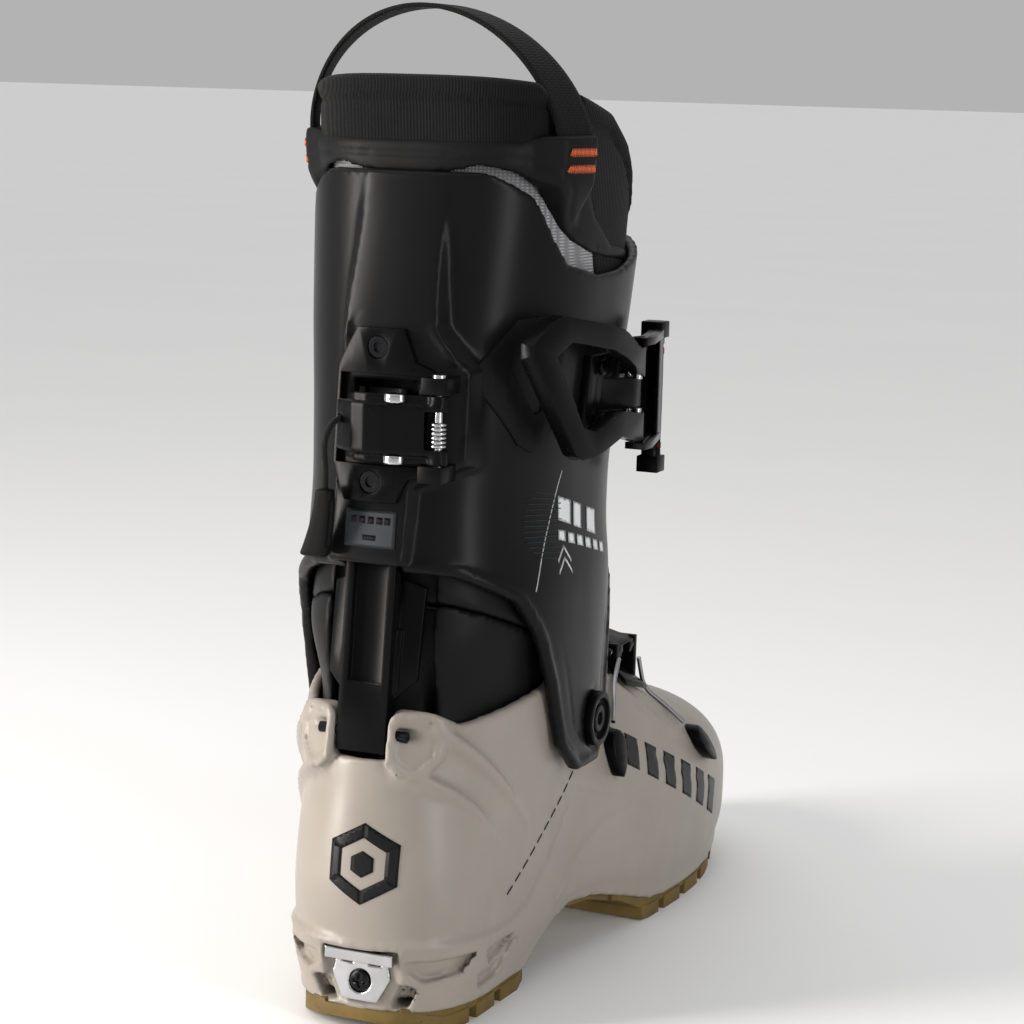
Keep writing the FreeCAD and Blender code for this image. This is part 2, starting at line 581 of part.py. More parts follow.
def buckle_lever():
    """Six-sided open lever, bowed to follow the cuff."""
    strip = LEVER_LINE
    slab = prism_z(offset_line(strip, LEVER_T / 2) + offset_line(strip, -LEVER_T / 2)[::-1], 190, 255)
    lever = slab.common(prism_x(LEVER_FACE)).cut(prism_x(LEVER_HOLE))
    lever = lever.cut(cylinder_z(1.55, BUCKLE_A[0], BUCKLE_A[1], 190, 250))
    return lever.cut(cylinder_z(1.55, BUCKLE_B[0], BUCKLE_B[1], 190, 250))


def buckle_base():
    """Plate riveted to the cuff, with the tongue that carries the lever pivot."""
    y0, y1 = 38.0, 70.0
    hug = leg_body(LEG, 3.2, 180, 250).cut(leg_body(LEG, 0.05, 175, 256))
    plate = hug.common(box(20, 70, y0, y1, 201.5, 230.5))
    tongue = prism_z([(44, 48), (51, 50), (58, 63.5), (58, 71.5), (51, 72), (44, 72)], 209.8, 221.2)
    tongue = tongue.cut(leg_body(LEG, 0.05, 175, 256))
    base = plate.fuse(tongue).cut(cylinder_z(1.55, BUCKLE_A[0], BUCKLE_A[1], 190, 250))
    for z in RIVET_Z:
        base = base.cut(cylinder_x(1.55, 30, 70, RIVET_Y, z))
    return base


def buckle_rivets():
    rivets = []
    for z in RIVET_Z:
        x = on_leg(RIVET_Y, z)
        shank = cylinder_x(1.5, x - CUFF_T + 0.4, x + 3.7, RIVET_Y, z)
        rivets.append(shank.fuse(cylinder_x(2.8, x + 3.7, x + 5.0, RIVET_Y, z)))
    return Part.makeCompound(rivets)


def buckle_pin():
    return cylinder_z(1.5, BUCKLE_A[0], BUCKLE_A[1], 201, 231)


def link_pins():
    return Part.makeCompound([cylinder_z(1.5, BUCKLE_B[0], BUCKLE_B[1], 201.0, 210.6),
                              cylinder_z(1.5, BUCKLE_B[0], BUCKLE_B[1], 221.0, 231.4)])


def strap_link():
    """Frame between the lever and the strap bar."""
    x, y = BUCKLE_B
    bx, by = BAR_XY
    def cheek(z0, z1):
        arm = prism_z([(x - 3.2, y - 2.6), (x + 4.2, y - 2.6), (x + 4.6, y + 4), (bx + 4.6, by - 3),
                       (bx - 1, by - 3), (x - 1.2, y + 6)], z0, z1)
        return arm.cut(cylinder_z(2.3, x, y, z0 - 1, z1 + 1))
    frame = cheek(233.4, 236.0).fuse(cheek(196.0, 198.4))
    plate = prism_z([(bx + 1.6, by - 6), (bx + 4.4, by - 6), (bx + 3.6, by), (bx + 0.6, by)], 196, 236)
    return frame.fuse(plate)


def strap_bar():
    """Round bar with square flanged ends that holds the strap."""
    x, y = BAR_XY[0] - 1.5, BAR_XY[1] + 4.4
    bar = cylinder_z(2.4, x, y, 184, 238)
    for z0, z1 in ((182.5, 188.5), (232.5, 238.5)):
        bar = bar.fuse(box(x - 4.2, x + 4.2, y - 4, y + 4, z0, z1))
    for z in (188, 230):
        bar = bar.fuse(cylinder_z(3.6, x, y, z, z + 3))
    return bar


STRAP_T = 2.2


def strap_path(grow):
    """Line of the strap round the front, from the bar to its medial anchor, seen from above."""
    line = [(50.4, 102.8), (46.4, 107.4), (38.5, 113.5), (28.5, 119.2), (18, 123.4), (0, 125.6), (-18, 123.2),
            (-28, 118.2), (-36.8, 110.2), (-43.2, 100.2), (-48.6, 85.2), (-51.2, 70)]
    return offset_line(line, grow)


def cuff_strap():
    return prism_z(strap_path(STRAP_T / 2) + strap_path(-STRAP_T / 2)[::-1], 191, 229)


def strap_anchor():
    """Medial plate that holds the fixed end of the strap."""
    hug = leg_body(LEG, 3.4, 180, 245).cut(leg_body(LEG, 0.05, 175, 250))
    plate = hug.common(box(-70, -20, 50, 84, 190, 230)).cut(cuff_strap())
    for z in ANCHOR_Z:
        plate = plate.cut(cylinder_x(2.05, -70, -30, ANCHOR_Y, z))
    return plate


def anchor_screws():
    screws = []
    for z in ANCHOR_Z:
        x = -on_leg(ANCHOR_Y, z)
        shank = cylinder_x(2.0, x - 3.9, x + CUFF_T - 0.4, ANCHOR_Y, z)
        screws.append(shank.fuse(cylinder_x(3.4, x - 5.3, x - 3.9, ANCHOR_Y, z)))
    return Part.makeCompound(screws)


def lever_pad():
    """Thin rubber pad on the cuff where the lever lands: the lever's own outline, offset to the rear."""
    hug = leg_body(LEG, 1.0, 180, 262).cut(leg_body(LEG, 0.05, 175, 266))
    face = prism_x([(9, 199), (16, 201), (24, 243), (14, 246), (1, 245), (-11, 229), (-11.5, 223),
                    (3, 202)], 10, 70)
    hole = prism_x([(13, 213), (20, 236), (9, 238), (3, 236), (-1, 227), (9, 212)], 10, 70)
    return hug.common(face).cut(hole)


# ---------------------------------------------------------------- liner on the cuff
def leg_liner():
    body = leg_body(LEG, -LINER_OUT, 90, 314).cut(leg_body(LEG, -LINER_IN, 86, 318))
    keep = prism_x([(-60, 306.7), (-60, 158), (-20, 150), (20, 134), (46, 131), (68, 133), (84, 138),
                    (120, 156),
                    (150, 170), (150, 262), (104, 262), (99, 270), (94, 283), (87, 293.5), (80.4, 299.4),
                    (66, 291.7), (50, 298.7), (24, 305.7)])
    groove = leg_body(LEG, -8.7, 96, 190).fuse(leg_body(LEG, -6.4, 180, 250))
    groove = box(-18.5, 18.5, -60, 0, 100, 188).fuse(box(-11, 11, -60, 0, 180, 244)).cut(groove)
    return body.common(keep).cut(groove).cut(box(-24, 24, 84, 160, 100, 330))


def liner_collar():
    """Knitted collar that closes the top of the liner, with a notch on each side for the pull loop."""
    body = leg_body(LEG, -LINER_OUT - 0.8, 286, 332).cut(leg_body(LEG, -LINER_IN - 1.4, 282, 336))
    keep = prism_x([(-60, 327), (-9, 327), (24, 322.5), (56, 315), (75, 304.5), (80, 300), (66, 292),
                    (50, 299), (24, 306), (-60, 307)])
    wide = LOOP_WIDE / 2 + 0.5
    passage = box(-80, 80, LOOP_Y - wide, LOOP_Y + wide, LOOP_Z - 16, LOOP_TOP + 4)
    under = prism_y(loop_line(LOOP_T + 0.4), LOOP_Y - wide - 1, LOOP_Y + wide + 1)
    return body.common(keep).cut(passage.cut(under))


def tongue():
    """Padded tongue in the front opening of the liner."""
    body = leg_body(LEG, -LINER_OUT - 0.4, 128, 322).cut(leg_body(LEG, -LINER_OUT - 8, 124, 326))
    return body.common(box(-23.4, 23.4, 84, 160, 100, 330)).common(
        prism_x([(60, 150), (100, 150), (140, 164), (140, 296), (60, 299)]))


def back_panel():
    """Smooth moulded panel round the back and sides of the liner, above the cuff."""
    hug = leg_body(LEG, -LINER_OUT + 1.2, 250, 316).cut(leg_body(LEG, -LINER_OUT + 0.05, 246, 320))
    keep = prism_x([(-60, 302), (12, 301), (22, 306), (30, 306), (36, 290), (50, 270), (62, 264),
                    (52, 262), (34, 264), (20, 272), (6, 288), (-4, 297), (-60, 297)])
    return hug.common(keep)


def loop_line(depth):
    """Line of the pull loop seen from behind, depth inside its outer face, as (x, z) points."""
    half, rise, steps = LOOP_HALF - depth, LOOP_TOP - depth - LOOP_Z, 18
    line = [(LOOP_X + half, LOOP_Z - 16)]
    for k in range(steps + 1):
        t = math.pi * k / steps
        line.append((LOOP_X + half * math.cos(t) - 6 * math.sin(t), LOOP_Z + rise * math.sin(t) ** 1.1))
    return line + [(LOOP_X - half, LOOP_Z - 16)]


def pull_loop():
    """Webbing handle over the top of the liner."""
    arch = prism_y(loop_line(0) + loop_line(LOOP_T)[::-1], LOOP_Y - LOOP_WIDE / 2, LOOP_Y + LOOP_WIDE / 2)
    return arch.cut(leg_body(LEG, -LINER_OUT + 1.3, 280, LOOP_Z + 2))


# ---------------------------------------------------------------- cord of the lock lever
CORD_R = 1.1
CORD_POINTS = [(-10.8, -28.0, 211.5), (-10.8, -34.0, 211.5), (-11.2, -39.0, 209.2), (-12.0, -40.8, 204.6),
               (-12.8, -39.2, 199.8), (-13.8, -36.2, 195.4), (-13.8, -36.2, 188.0)]
GRIP_TOP, GRIP_LOW = 188.0, 164.0


def lever_cord():
    print("lever cord: radii of its arcs in mm", [round(r, 1) for r in arc_radii(CORD_POINTS)])
    return tube(CORD_POINTS, CORD_R)


def cord_knot():
    """Stopper knot behind the eye of the lever."""
    x, y, z = CORD_POINTS[0]
    return Part.makeSphere(2.4, V(x, y, z)).common(box(x - 4, x + 4, y, y + 2.2, z - 4, z + 4))


def cord_grip():
    """Moulded grip on the end of the cord."""
    x, y, _ = CORD_POINTS[-1]
    top = Part.makePolygon([V(x + a, y + b, GRIP_TOP) for a, b in
                            [(-3, -3), (3, -3), (3.4, 0), (3, 3), (-3, 3), (-3.4, 0), (-3, -3)]])
    low = Part.makePolygon([V(x - 5.0 + a, y + 2.4 + b, GRIP_LOW) for a, b in
                            [(-5.4, -3), (4.4, -3), (5.2, 0), (4.4, 3), (-5.4, 3), (-6.0, 0), (-5.4, -3)]])
    return Part.makeLoft([top, low], True, True)


# ---------------------------------------------------------------- instep closure
def instep_skin(low, high):
    """Layer that follows the top of the foot and ankle, between two heights above the shell."""
    outer = foot_body(high).fuse(leg_body(ANKLE, high, 60, 140))
    return outer.cut(foot_body(low)).cut(leg_body(ANKLE, low, 50, 150))


def instep_flap():
    """Soft black flap that closes the throat of the lower shell."""
    keep = prism_z([(-24, 96), (26, 96), (32, 122), (30, 150), (16, 176), (-8, 178), (-24, 156),
                    (-28, 122)], 40, 140)
    side = prism_x([(96, 60), (190, 60), (190, 130), (112, 118), (100, 112)])
    return instep_skin(0.15, 2.0).common(keep).common(side)


GUIDES = {  # name: middle along the boot, height, lean towards the toe in degrees, side
    "rear_lateral": (90, 75, 8, 1),
    "front_lateral": (171, 61, -38, 1),
    "rear_medial": (96, 76, 12, -1),
    "front_medial": (168, 64, -38, -1),
}


def cable_guide(y, z, lean, side):
    """Drop-shaped wire guide on the side of the shell."""
    turn = math.radians(lean)
    drop = []
    for k in range(20):
        t = 2 * math.pi * k / 20
        along, across = 9.0 * math.cos(t), 4.6 * math.sin(t) * (1.0 + 0.35 * math.cos(t))
        drop.append((y + across * math.cos(turn) + along * math.sin(turn),
                     z + along * math.cos(turn) - across * math.sin(turn)))
    low, high = (20, 80) if side > 0 else (-80, -20)
    return instep_skin(0.1, 4.6).common(prism_x(drop, low, high))


LATCH_X, LATCH_Z = 30.0, 106.0    # hinge of the instep latch


def instep_catch():
    """Base of the instep latch: a saddle with two cheeks."""
    saddle = instep_skin(2.1, 3.6).common(prism_z([(22, 120), (38, 120), (38, 144), (22, 144)], 60, 130))
    cheeks = box(26.5, 33.5, 121, 123.4, 86, 109.4).fuse(box(26.5, 33.5, 140.6, 143, 86, 109.4))
    cheeks = cheeks.cut(foot_body(2.1))
    return saddle.fuse(cheeks).cut(cylinder_y(1.55, LATCH_X, 110, 160, LATCH_Z))


def instep_pin():
    return cylinder_y(1.5, LATCH_X, 121, 143, LATCH_Z)


def instep_latch():
    """Lever of the instep closure, lying over the flap."""
    shape = [(3, -2.6), (3.2, 2.6), (-6, 5.0), (-16, 7.2), (-28, 8.2), (-28.4, 5.6), (-17, 4.6), (-8, 2.4),
             (-3.4, -0.4)]
    outline = [(LATCH_X + x, LATCH_Z + z) for x, z in shape]
    lever = prism_y(outline, 123.8, 140.2).fuse(cylinder_y(3.4, LATCH_X, 123.8, 140.2, LATCH_Z))
    lever = lever.cut(box(LATCH_X - 3.6, LATCH_X + 3.6, 128, 136, 90, LATCH_Z + 1.8))
    return lever.cut(cylinder_y(1.55, LATCH_X, 110, 160, LATCH_Z))


def side_point(y, z, side, out):
    """Point on the side of the foot at y and z, out from the shell."""
    lateral, medial, top = table(FOOT, y)
    mid, half = (lateral + medial) / 2, (lateral - medial) / 2
    rise = min(abs((z - WIDEST) / (top - WIDEST)), 1.0)
    return (mid + side * (half * (1 - rise ** RISE_N) ** (1 / RISE_N) + out), y, z)


CABLE_R = 0.9
CABLES = {  # name: (y, z, side) of each point from its guide up to the catch, then the end in the catch
    "instep_cable_rear": ([(93, 86, 1), (103, 93.5, 1), (113, 97, 1)], (34.2, 121.6, 103.8)),
    "instep_cable_front": ([(161, 71.5, 1), (154, 80, 1), (147, 87, 1)], (34.6, 142.8, 100.2)),
}


def instep_cable(name):
    route, end = CABLES[name]
    points = [side_point(y, z, side, 2.6) for y, z, side in route] + [end]
    return tube(points, CABLE_R)


def build():
    os.makedirs(PARTS, exist_ok=True)
    shell = lower_shell()
    save("lower_shell", shell)
    save("heel_sole", heel_sole())
    save("forefoot_sole", forefoot_sole())
    save("arch_strip", arch_strip())
    save("bar_pin", bar_pin())
    save("heel_insert", heel_insert())
    save("heel_insert_screw", heel_insert_screw())
    save("toe_insert", toe_insert())
    save("boot_board", boot_board())
    save("footbed", footbed())
    heel_part, forefoot_part = liner_foot()
    save("heel_liner", heel_part)
    save("foot_liner", forefoot_part)
    for side, name in ((1, "lateral"), (-1, "medial")):
        cap, bush = pivot(side)
        save("pivot_cap_" + name, cap)
        save("pivot_bush_" + name, bush)
    save("cuff_shell", cuff_shell())
    save("badge", badge())
    save("lock_plate", lock_plate())
    save("plate_screw_upper", plate_screw(235.5))
    save("plate_screw_lower", plate_screw(190.5))
    save("lock_lever", lock_lever())
    save("lock_tooth", lock_tooth())
    save("hinge_pin", hinge_pin())
    save("hinge_spring", hinge_spring())
    save("link_bar", link_bar())
    save("buckle_lever", buckle_lever())
    save("buckle_base", buckle_base())
    save("buckle_rivets", buckle_rivets())
    save("buckle_pin", buckle_pin())
    save("link_pins", link_pins())
    save("strap_link", strap_link())
    save("strap_bar", strap_bar())
    save("cuff_strap", cuff_strap())
    save("strap_anchor", strap_anchor())
    save("anchor_screws", anchor_screws())
    save("lever_pad", lever_pad())
    save("leg_liner", leg_liner())
    save("liner_collar", liner_collar())
    save("tongue", tongue())
    save("back_panel", back_panel())
    save("pull_loop", pull_loop())
    save("lever_cord", lever_cord())
    save("cord_knot", cord_knot())
    save("cord_grip", cord_grip())
    save("instep_flap", instep_flap())
    save("instep_catch", instep_catch())
    save("instep_pin", instep_pin())
    save("instep_latch", instep_latch())
    for name, place in GUIDES.items():
        save("cable_guide_" + name, cable_guide(*place))
    for name in CABLES:
        save(name, instep_cable(name))


build()
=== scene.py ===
"""Looks of the alpine touring boot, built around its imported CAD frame.

Shapes are written in millimetres in the frame's own axes: X to the outer side, Y to the toe, Z up. The
moulded shells are signed distance fields, meshed by surface nets. Soft parts are wrapped around the same
leg sections. Small hardware is the CAD's own mesh, most of it as a copy with rounded edges.
"""
import json
import math

import bpy
import bmesh
import numpy as np
from mathutils import Matrix, Vector
from mathutils.bvhtree import BVHTree


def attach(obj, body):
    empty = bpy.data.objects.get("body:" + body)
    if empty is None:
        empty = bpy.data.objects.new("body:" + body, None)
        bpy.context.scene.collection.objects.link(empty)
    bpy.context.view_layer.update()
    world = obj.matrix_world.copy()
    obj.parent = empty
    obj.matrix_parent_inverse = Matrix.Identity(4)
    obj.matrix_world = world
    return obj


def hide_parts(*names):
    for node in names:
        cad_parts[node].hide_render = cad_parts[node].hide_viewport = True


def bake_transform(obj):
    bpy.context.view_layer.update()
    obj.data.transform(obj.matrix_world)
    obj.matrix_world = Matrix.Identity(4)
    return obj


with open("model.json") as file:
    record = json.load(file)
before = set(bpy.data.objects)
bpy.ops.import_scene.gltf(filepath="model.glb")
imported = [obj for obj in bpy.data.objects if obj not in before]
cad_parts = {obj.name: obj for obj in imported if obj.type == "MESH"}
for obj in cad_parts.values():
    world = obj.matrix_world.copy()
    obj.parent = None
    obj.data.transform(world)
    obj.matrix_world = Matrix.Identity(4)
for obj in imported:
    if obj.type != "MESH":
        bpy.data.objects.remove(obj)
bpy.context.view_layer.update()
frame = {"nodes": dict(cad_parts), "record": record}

MM = 0.001

# ---------------- driving dimensions, as in the CAD
HEEL_Y, TOE_Y = -40.0, 257.0
PIVOT_Y, PIVOT_Z = 58.0, 96.0
SHELL_T, CUFF_T = 4.0, 3.5
HEEL_X = 4.0
LEG_N, HEEL_N, PLAN_N, RISE_N, FLAT_N = 2.4, 1.85, 2.3, 2.3, 5.0  # powers of the superellipses
WIDEST, HEEL_END, TOE_START = 38.0, 0.0, 183.0
BOSS_OUT, TUNNEL_OUT = 5.2, 3.5
NOWHERE = 1e3  # distance for a place that a cut or boss never reaches
# height, half width, back, front
LEG = np.array([
    (66, 50.0, -34.0, 108), (88, 50.0, -34.0, 112), (110, 49.5, -33.0, 113), (130, 49.2, -31.0, 114),
    (150, 48.5, -27.5, 115), (165, 46.0, -25.5, 116), (185, 45.3, -23.5, 118), (215, 47.5, -20.5, 121),
    (240, 50.0, -18.0, 124), (270, 52.0, -15.0, 128), (300, 53.5, -12.0, 131), (332, 56.0, -9.0, 133),
])
ANKLE = np.array([
    (30, 34.0, -38.5, 66), (50, 38.5, -40.0, 78), (70, 42.0, -39.0, 92), (96, 44.8, -36.5, 99),
    (112, 44.8, -33.0, 102), (135, 44.0, -29.0, 104), (150, 43.0, -27.0, 105),
])
# distance along, lateral edge, medial edge, height of the top
FOOT = np.array([
    (0, 38.0, -33.5, 96), (30, 39.5, -36.0, 104), (60, 43.5, -39.5, 114), (90, 48.0, -42.0, 116),
    (120, 52.5, -45.0, 106), (150, 55.5, -48.0, 93), (175, 55.5, -50.0, 83), (200, 53.0, -50.5, 77),
    (230, 50.0, -50.0, 72), (257, 47.0, -50.0, 66),
])
SHELL_BOTTOM = np.array([
    (-40, 9.5), (26, 9.5), (44, 19), (60, 24), (80, 22), (104, 15), (125, 8.5), (148, 7.2), (185, 7.5),
    (205, 10.5), (225, 15), (257, 27),
])


def column(rows, k, reach=12.0):
    """Column k of a table against its first column, as a smooth function."""
    xs = np.arange(rows[0, 0] - 60, rows[-1, 0] + 60, 1.0)
    ys = np.interp(xs, rows[:, 0], rows[:, k])
    window = np.hanning(int(2 * reach) + 1)
    padded = np.pad(ys, int(reach), mode="edge")
    smooth = np.convolve(padded, window / window.sum(), mode="valid")
    return lambda x: np.interp(x, xs, smooth)


LEG_SECTION = [column(LEG, k) for k in (1, 2, 3)]
ANKLE_SECTION = [column(ANKLE, k) for k in (1, 2, 3)]
FOOT_OUT, FOOT_IN, FOOT_TOP = (column(FOOT, k, 20.0) for k in (1, 2, 3))
FOOT_LOW = column(SHELL_BOTTOM, 1, 8.0)


# ---------------- signed distance fields
class Grid:
    """Regular grid of cells over a box, in millimetres, with fields of distance on it."""

    def __init__(self, low, high, cell):
        self.cell = cell
        self.low = np.array(low, float)
        counts = [int(math.ceil((h - l) / cell)) + 1 for l, h in zip(low, high)]
        axes = [l + cell * np.arange(n, dtype=np.float32) for l, n in zip(low, counts)]
        self.x, self.y, self.z = np.meshgrid(*[a.astype(np.float32) for a in axes], indexing="ij")

    def distance(self, field):
        """The field divided by the size of its slope: nearly a distance close to its zero surface."""
        slopes = np.gradient(field, self.cell)
        size = np.sqrt(sum(s * s for s in slopes))
        return field / np.maximum(size, 1e-4)


def smooth_min(a, b, k):
    h = np.clip(0.5 + 0.5 * (b - a) / k, 0, 1)
    return b + (a - b) * h - k * h * (1 - h)


def smooth_max(a, b, k):
    return -smooth_min(-a, -b, k)


def carve(shape, tool, k):
    """The shape without the tool, with edges rounded by about k."""
    return smooth_max(shape, -tool, k)


def step(x, low, high):
    """Smooth rise from 0 at low to 1 at high."""
    t = np.clip((x - low) / (high - low), 0, 1)
    return t * t * (3 - 2 * t)


def tent(x, half):
    """1 where x is 0, falling to 0 half away on either side."""
    return np.clip(1 - np.abs(x) / half, 0, 1)


def polygon(points, u, v):
    """Signed distance in a plane to a closed outline: negative inside."""
    best = np.full(u.shape, 1e9, np.float32)
    inside = np.zeros(u.shape, bool)
    for (u0, v0), (u1, v1) in zip(points, points[1:] + points[:1]):
        du, dv = u1 - u0, v1 - v0
        t = np.clip(((u - u0) * du + (v - v0) * dv) / (du * du + dv * dv), 0, 1)
        best = np.minimum(best, (u - u0 - t * du) ** 2 + (v - v0 - t * dv) ** 2)
        if dv:
            crosses = ((v0 > v) != (v1 > v)) & (u < du * (v - v0) / dv + u0)
            inside ^= crosses
    return np.where(inside, -1, 1) * np.sqrt(best)


def segment(a, b, u, v):
    """(distance to a plane segment, share along it)."""
    du, dv = b[0] - a[0], b[1] - a[1]
    t = np.clip(((u - a[0]) * du + (v - a[1]) * dv) / (du * du + dv * dv), 0, 1)
    return np.hypot(u - a[0] - t * du, v - a[1] - t * dv), t


def rounded(points):
    """Outline with its corners cut back twice, each time by a quarter of its sides."""
    for _ in range(2):
        cut = []
        for (x0, y0), (x1, y1) in zip(points, points[1:] + points[:1]):
            cut.append((x0 + (x1 - x0) / 4, y0 + (y1 - y0) / 4))
            cut.append((x1 - (x1 - x0) / 4, y1 - (y1 - y0) / 4))
        points = cut
    return points


def superellipse(a, b, n):
    return (np.abs(a) ** n + np.abs(b) ** n) ** (1 / n)


def leg_field(g, section=LEG_SECTION, back_n=LEG_N):
    """Distance to an upright tube whose half width, back and front follow the height."""
    half, back, front = (side(g.z) for side in section)
    u, v = g.x / half, (g.y - (back + front) / 2) / ((front - back) / 2)
    return g.distance(np.where(v > 0, superellipse(u, v, LEG_N), superellipse(u, v, back_n)) - 1)


def foot_reach(g):
    """Share of the way out to the foot's outline seen from above: 1 on the outline."""
    out, inner = FOOT_OUT(g.y), FOOT_IN(g.y)
    toe = np.clip((g.y - TOE_START) / (TOE_Y - TOE_START), 0, None)
    heel = np.clip((HEEL_END - g.y) / (HEEL_END - HEEL_Y), 0, None)
    side = np.abs(g.x - (out + inner) / 2) / ((out - inner) / 2)
    return (side ** PLAN_N + toe ** PLAN_N + heel ** PLAN_N) ** (1 / PLAN_N)


def foot_field(g):
    reach = foot_reach(g)
    up = np.clip((g.z - WIDEST) / (FOOT_TOP(g.y) - WIDEST), 0, None)
    down = np.clip((WIDEST - g.z) / (WIDEST - FOOT_LOW(g.y)), 0, None)
    field = np.where(g.z > WIDEST, superellipse(reach, up, RISE_N), superellipse(reach, down, FLAT_N))
    return g.distance(field - 1)


def box_field(g, low, high):
    sides = [low[0] - g.x, g.x - high[0], low[1] - g.y, g.y - high[1], low[2] - g.z, g.z - high[2]]
    return np.maximum.reduce(sides)


def contour(name, g, field, smooth=1):
    """Mesh object of the field's zero surface, by surface nets, in metres."""
    inside = field < 0
    shape = [n - 1 for n in field.shape]
    total = np.zeros(shape + [3], np.float32)
    hits = np.zeros(shape, np.int32)
    corners = [(i, j, k) for i in (0, 1) for j in (0, 1) for k in (0, 1)]

    def at(values, c):
        return values[c[0]:c[0] + shape[0], c[1]:c[1] + shape[1], c[2]:c[2] + shape[2]]

    for a in corners:
        for axis in range(3):
            if a[axis]:
                continue
            b = tuple(1 if n == axis else v for n, v in enumerate(a))
            fa, fb = at(field, a), at(field, b)
            crossing = at(inside, a) != at(inside, b)
            t = np.where(crossing, fa / np.where(fa == fb, 1, fa - fb), 0)
            for n in range(3):
                total[..., n] += np.where(crossing, a[n] + (t if n == axis else 0), 0)
            hits += crossing
    used = hits > 0
    index = np.full(shape, -1, np.int64)
    index[used] = np.arange(used.sum())
    cells = np.argwhere(used)
    points = g.low + g.cell * (cells + total[used] / hits[used][:, None])
    quads = []
    for axis in range(3):
        low = tuple(slice(0, -1) if n == axis else slice(1, -1) for n in range(3))
        high = tuple(slice(1, None) if n == axis else slice(1, -1) for n in range(3))
        a, b = inside[low], inside[high]
        where = np.argwhere(a != b) + [0 if n == axis else 1 for n in range(3)]
        flip = a[a != b]
        u, v = [n for n in range(3) if n != axis]
        ring = []
        for du, dv in ((-1, -1), (0, -1), (0, 0), (-1, 0)):
            cell = where.copy()
            cell[:, u] += du
            cell[:, v] += dv
            ring.append(index[cell[:, 0], cell[:, 1], cell[:, 2]])
        ring = np.stack(ring, 1)
        if axis == 1:
            flip = ~flip
        ring[~flip] = ring[~flip][:, ::-1]
        quads.append(ring)
    quads = np.concatenate(quads)
    return mesh_object(name, relax(points, quads, smooth), quads.tolist())


def relax(points, faces, times):
    """Each pass moves the points half way to their neighbours' mean, then a little more than that back."""
    edges = np.concatenate([faces[:, [k, (k + 1) % 4]] for k in range(4)])
    for weight in (0.5, -0.52) * times:
        total, count = np.zeros_like(points), np.zeros(len(points))
        for a, b in ((0, 1), (1, 0)):
            np.add.at(total, edges[:, a], points[edges[:, b]])
            np.add.at(count, edges[:, a], 1)
        points = points + weight * (total / np.maximum(count, 1)[:, None] - points)
    return points


def linked(name, data):
    """New object in the scene."""
    thing = bpy.data.objects.new(name, data)
    bpy.context.scene.collection.objects.link(thing)
    return thing


def mesh_object(name, points, faces):
    """Object from points in millimetres and lists of the points round each face."""
    mesh = bpy.data.meshes.new(name)
    mesh.from_pydata((np.asarray(points, float) * MM).tolist(), [], faces)
    mesh.validate()
    mesh.shade_smooth()
    return linked(name, mesh)


# ---------------- materials
class Nodes:
    """Short way to write a node material."""

    def __init__(self, name):
        self.material = bpy.data.materials.new(name)
        self.material.use_nodes = True
        self.tree = self.material.node_tree
        self.shader = self.tree.nodes["Principled BSDF"]
        self.place = self.add("ShaderNodeTexCoord").outputs["Object"]

    def add(self, kind, inputs=None, **settings):
        node = self.tree.nodes.new(kind)
        for key, value in settings.items():
            setattr(node, key, value)
        for key, value in (inputs or {}).items():
            if isinstance(value, bpy.types.NodeSocket):
                self.tree.links.new(value, node.inputs[key])
            else:
                node.inputs[key].default_value = value
        return node

    def stretched(self, scale):
        return self.add("ShaderNodeMapping", {"Vector": self.place, "Scale": scale}).outputs["Vector"]

    def noise(self, scale, detail=3.0, vector=None):
        inputs = {"Vector": vector or self.place, "Scale": scale, "Detail": detail, "Roughness": 0.55}
        return self.add("ShaderNodeTexNoise", inputs).outputs["Fac"]

    def ramp(self, factor, stops):
        node = self.add("ShaderNodeValToRGB", {"Fac": factor})
        ramp = node.color_ramp
        while len(ramp.elements) < len(stops):
            ramp.elements.new(0.5)
        for element, (place, colour) in zip(ramp.elements, stops):
            element.position = place
            element.color = (*colour, 1.0)
        return node.outputs["Color"]

    def math(self, operation, a, b=0.0, c=0.0):
        return self.add("ShaderNodeMath", {0: a, 1: b, 2: c}, operation=operation).outputs[0]

    def mix(self, factor, a, b):
        node = self.add("ShaderNodeMix", {"Factor": factor}, data_type="RGBA")
        for socket, value in ((node.inputs[6], a), (node.inputs[7], b)):
            if isinstance(value, bpy.types.NodeSocket):
                self.tree.links.new(value, socket)
            else:
                socket.default_value = (*value, 1.0)
        return node.outputs[2]

    def bump(self, height, strength, distance=0.0002, before=None):
        inputs = {"Height": height, "Strength": strength, "Distance": distance}
        if before:
            inputs["Normal"] = before
        return self.add("ShaderNodeBump", inputs).outputs["Normal"]

    def edge(self, radius=0.0006):
        return self.add("ShaderNodeBevel", {"Radius": radius}, samples=4).outputs["Normal"]

    def finish(self, **values):
        for key, value in values.items():
            socket = self.shader.inputs[key.replace("_", " ")]
            if isinstance(value, bpy.types.NodeSocket):
                self.tree.links.new(value, socket)
            else:
                socket.default_value = value
        return self.material


def shades(n, colour, spread, scale=35.0):
    """The colour, wandering lighter and darker by spread."""
    low = tuple(c * (1 - spread) for c in colour)
    high = tuple(min(c * (1 + spread), 1) for c in colour)
    return n.ramp(n.noise(scale, 4.0), [(0.3, low), (0.7, high)])


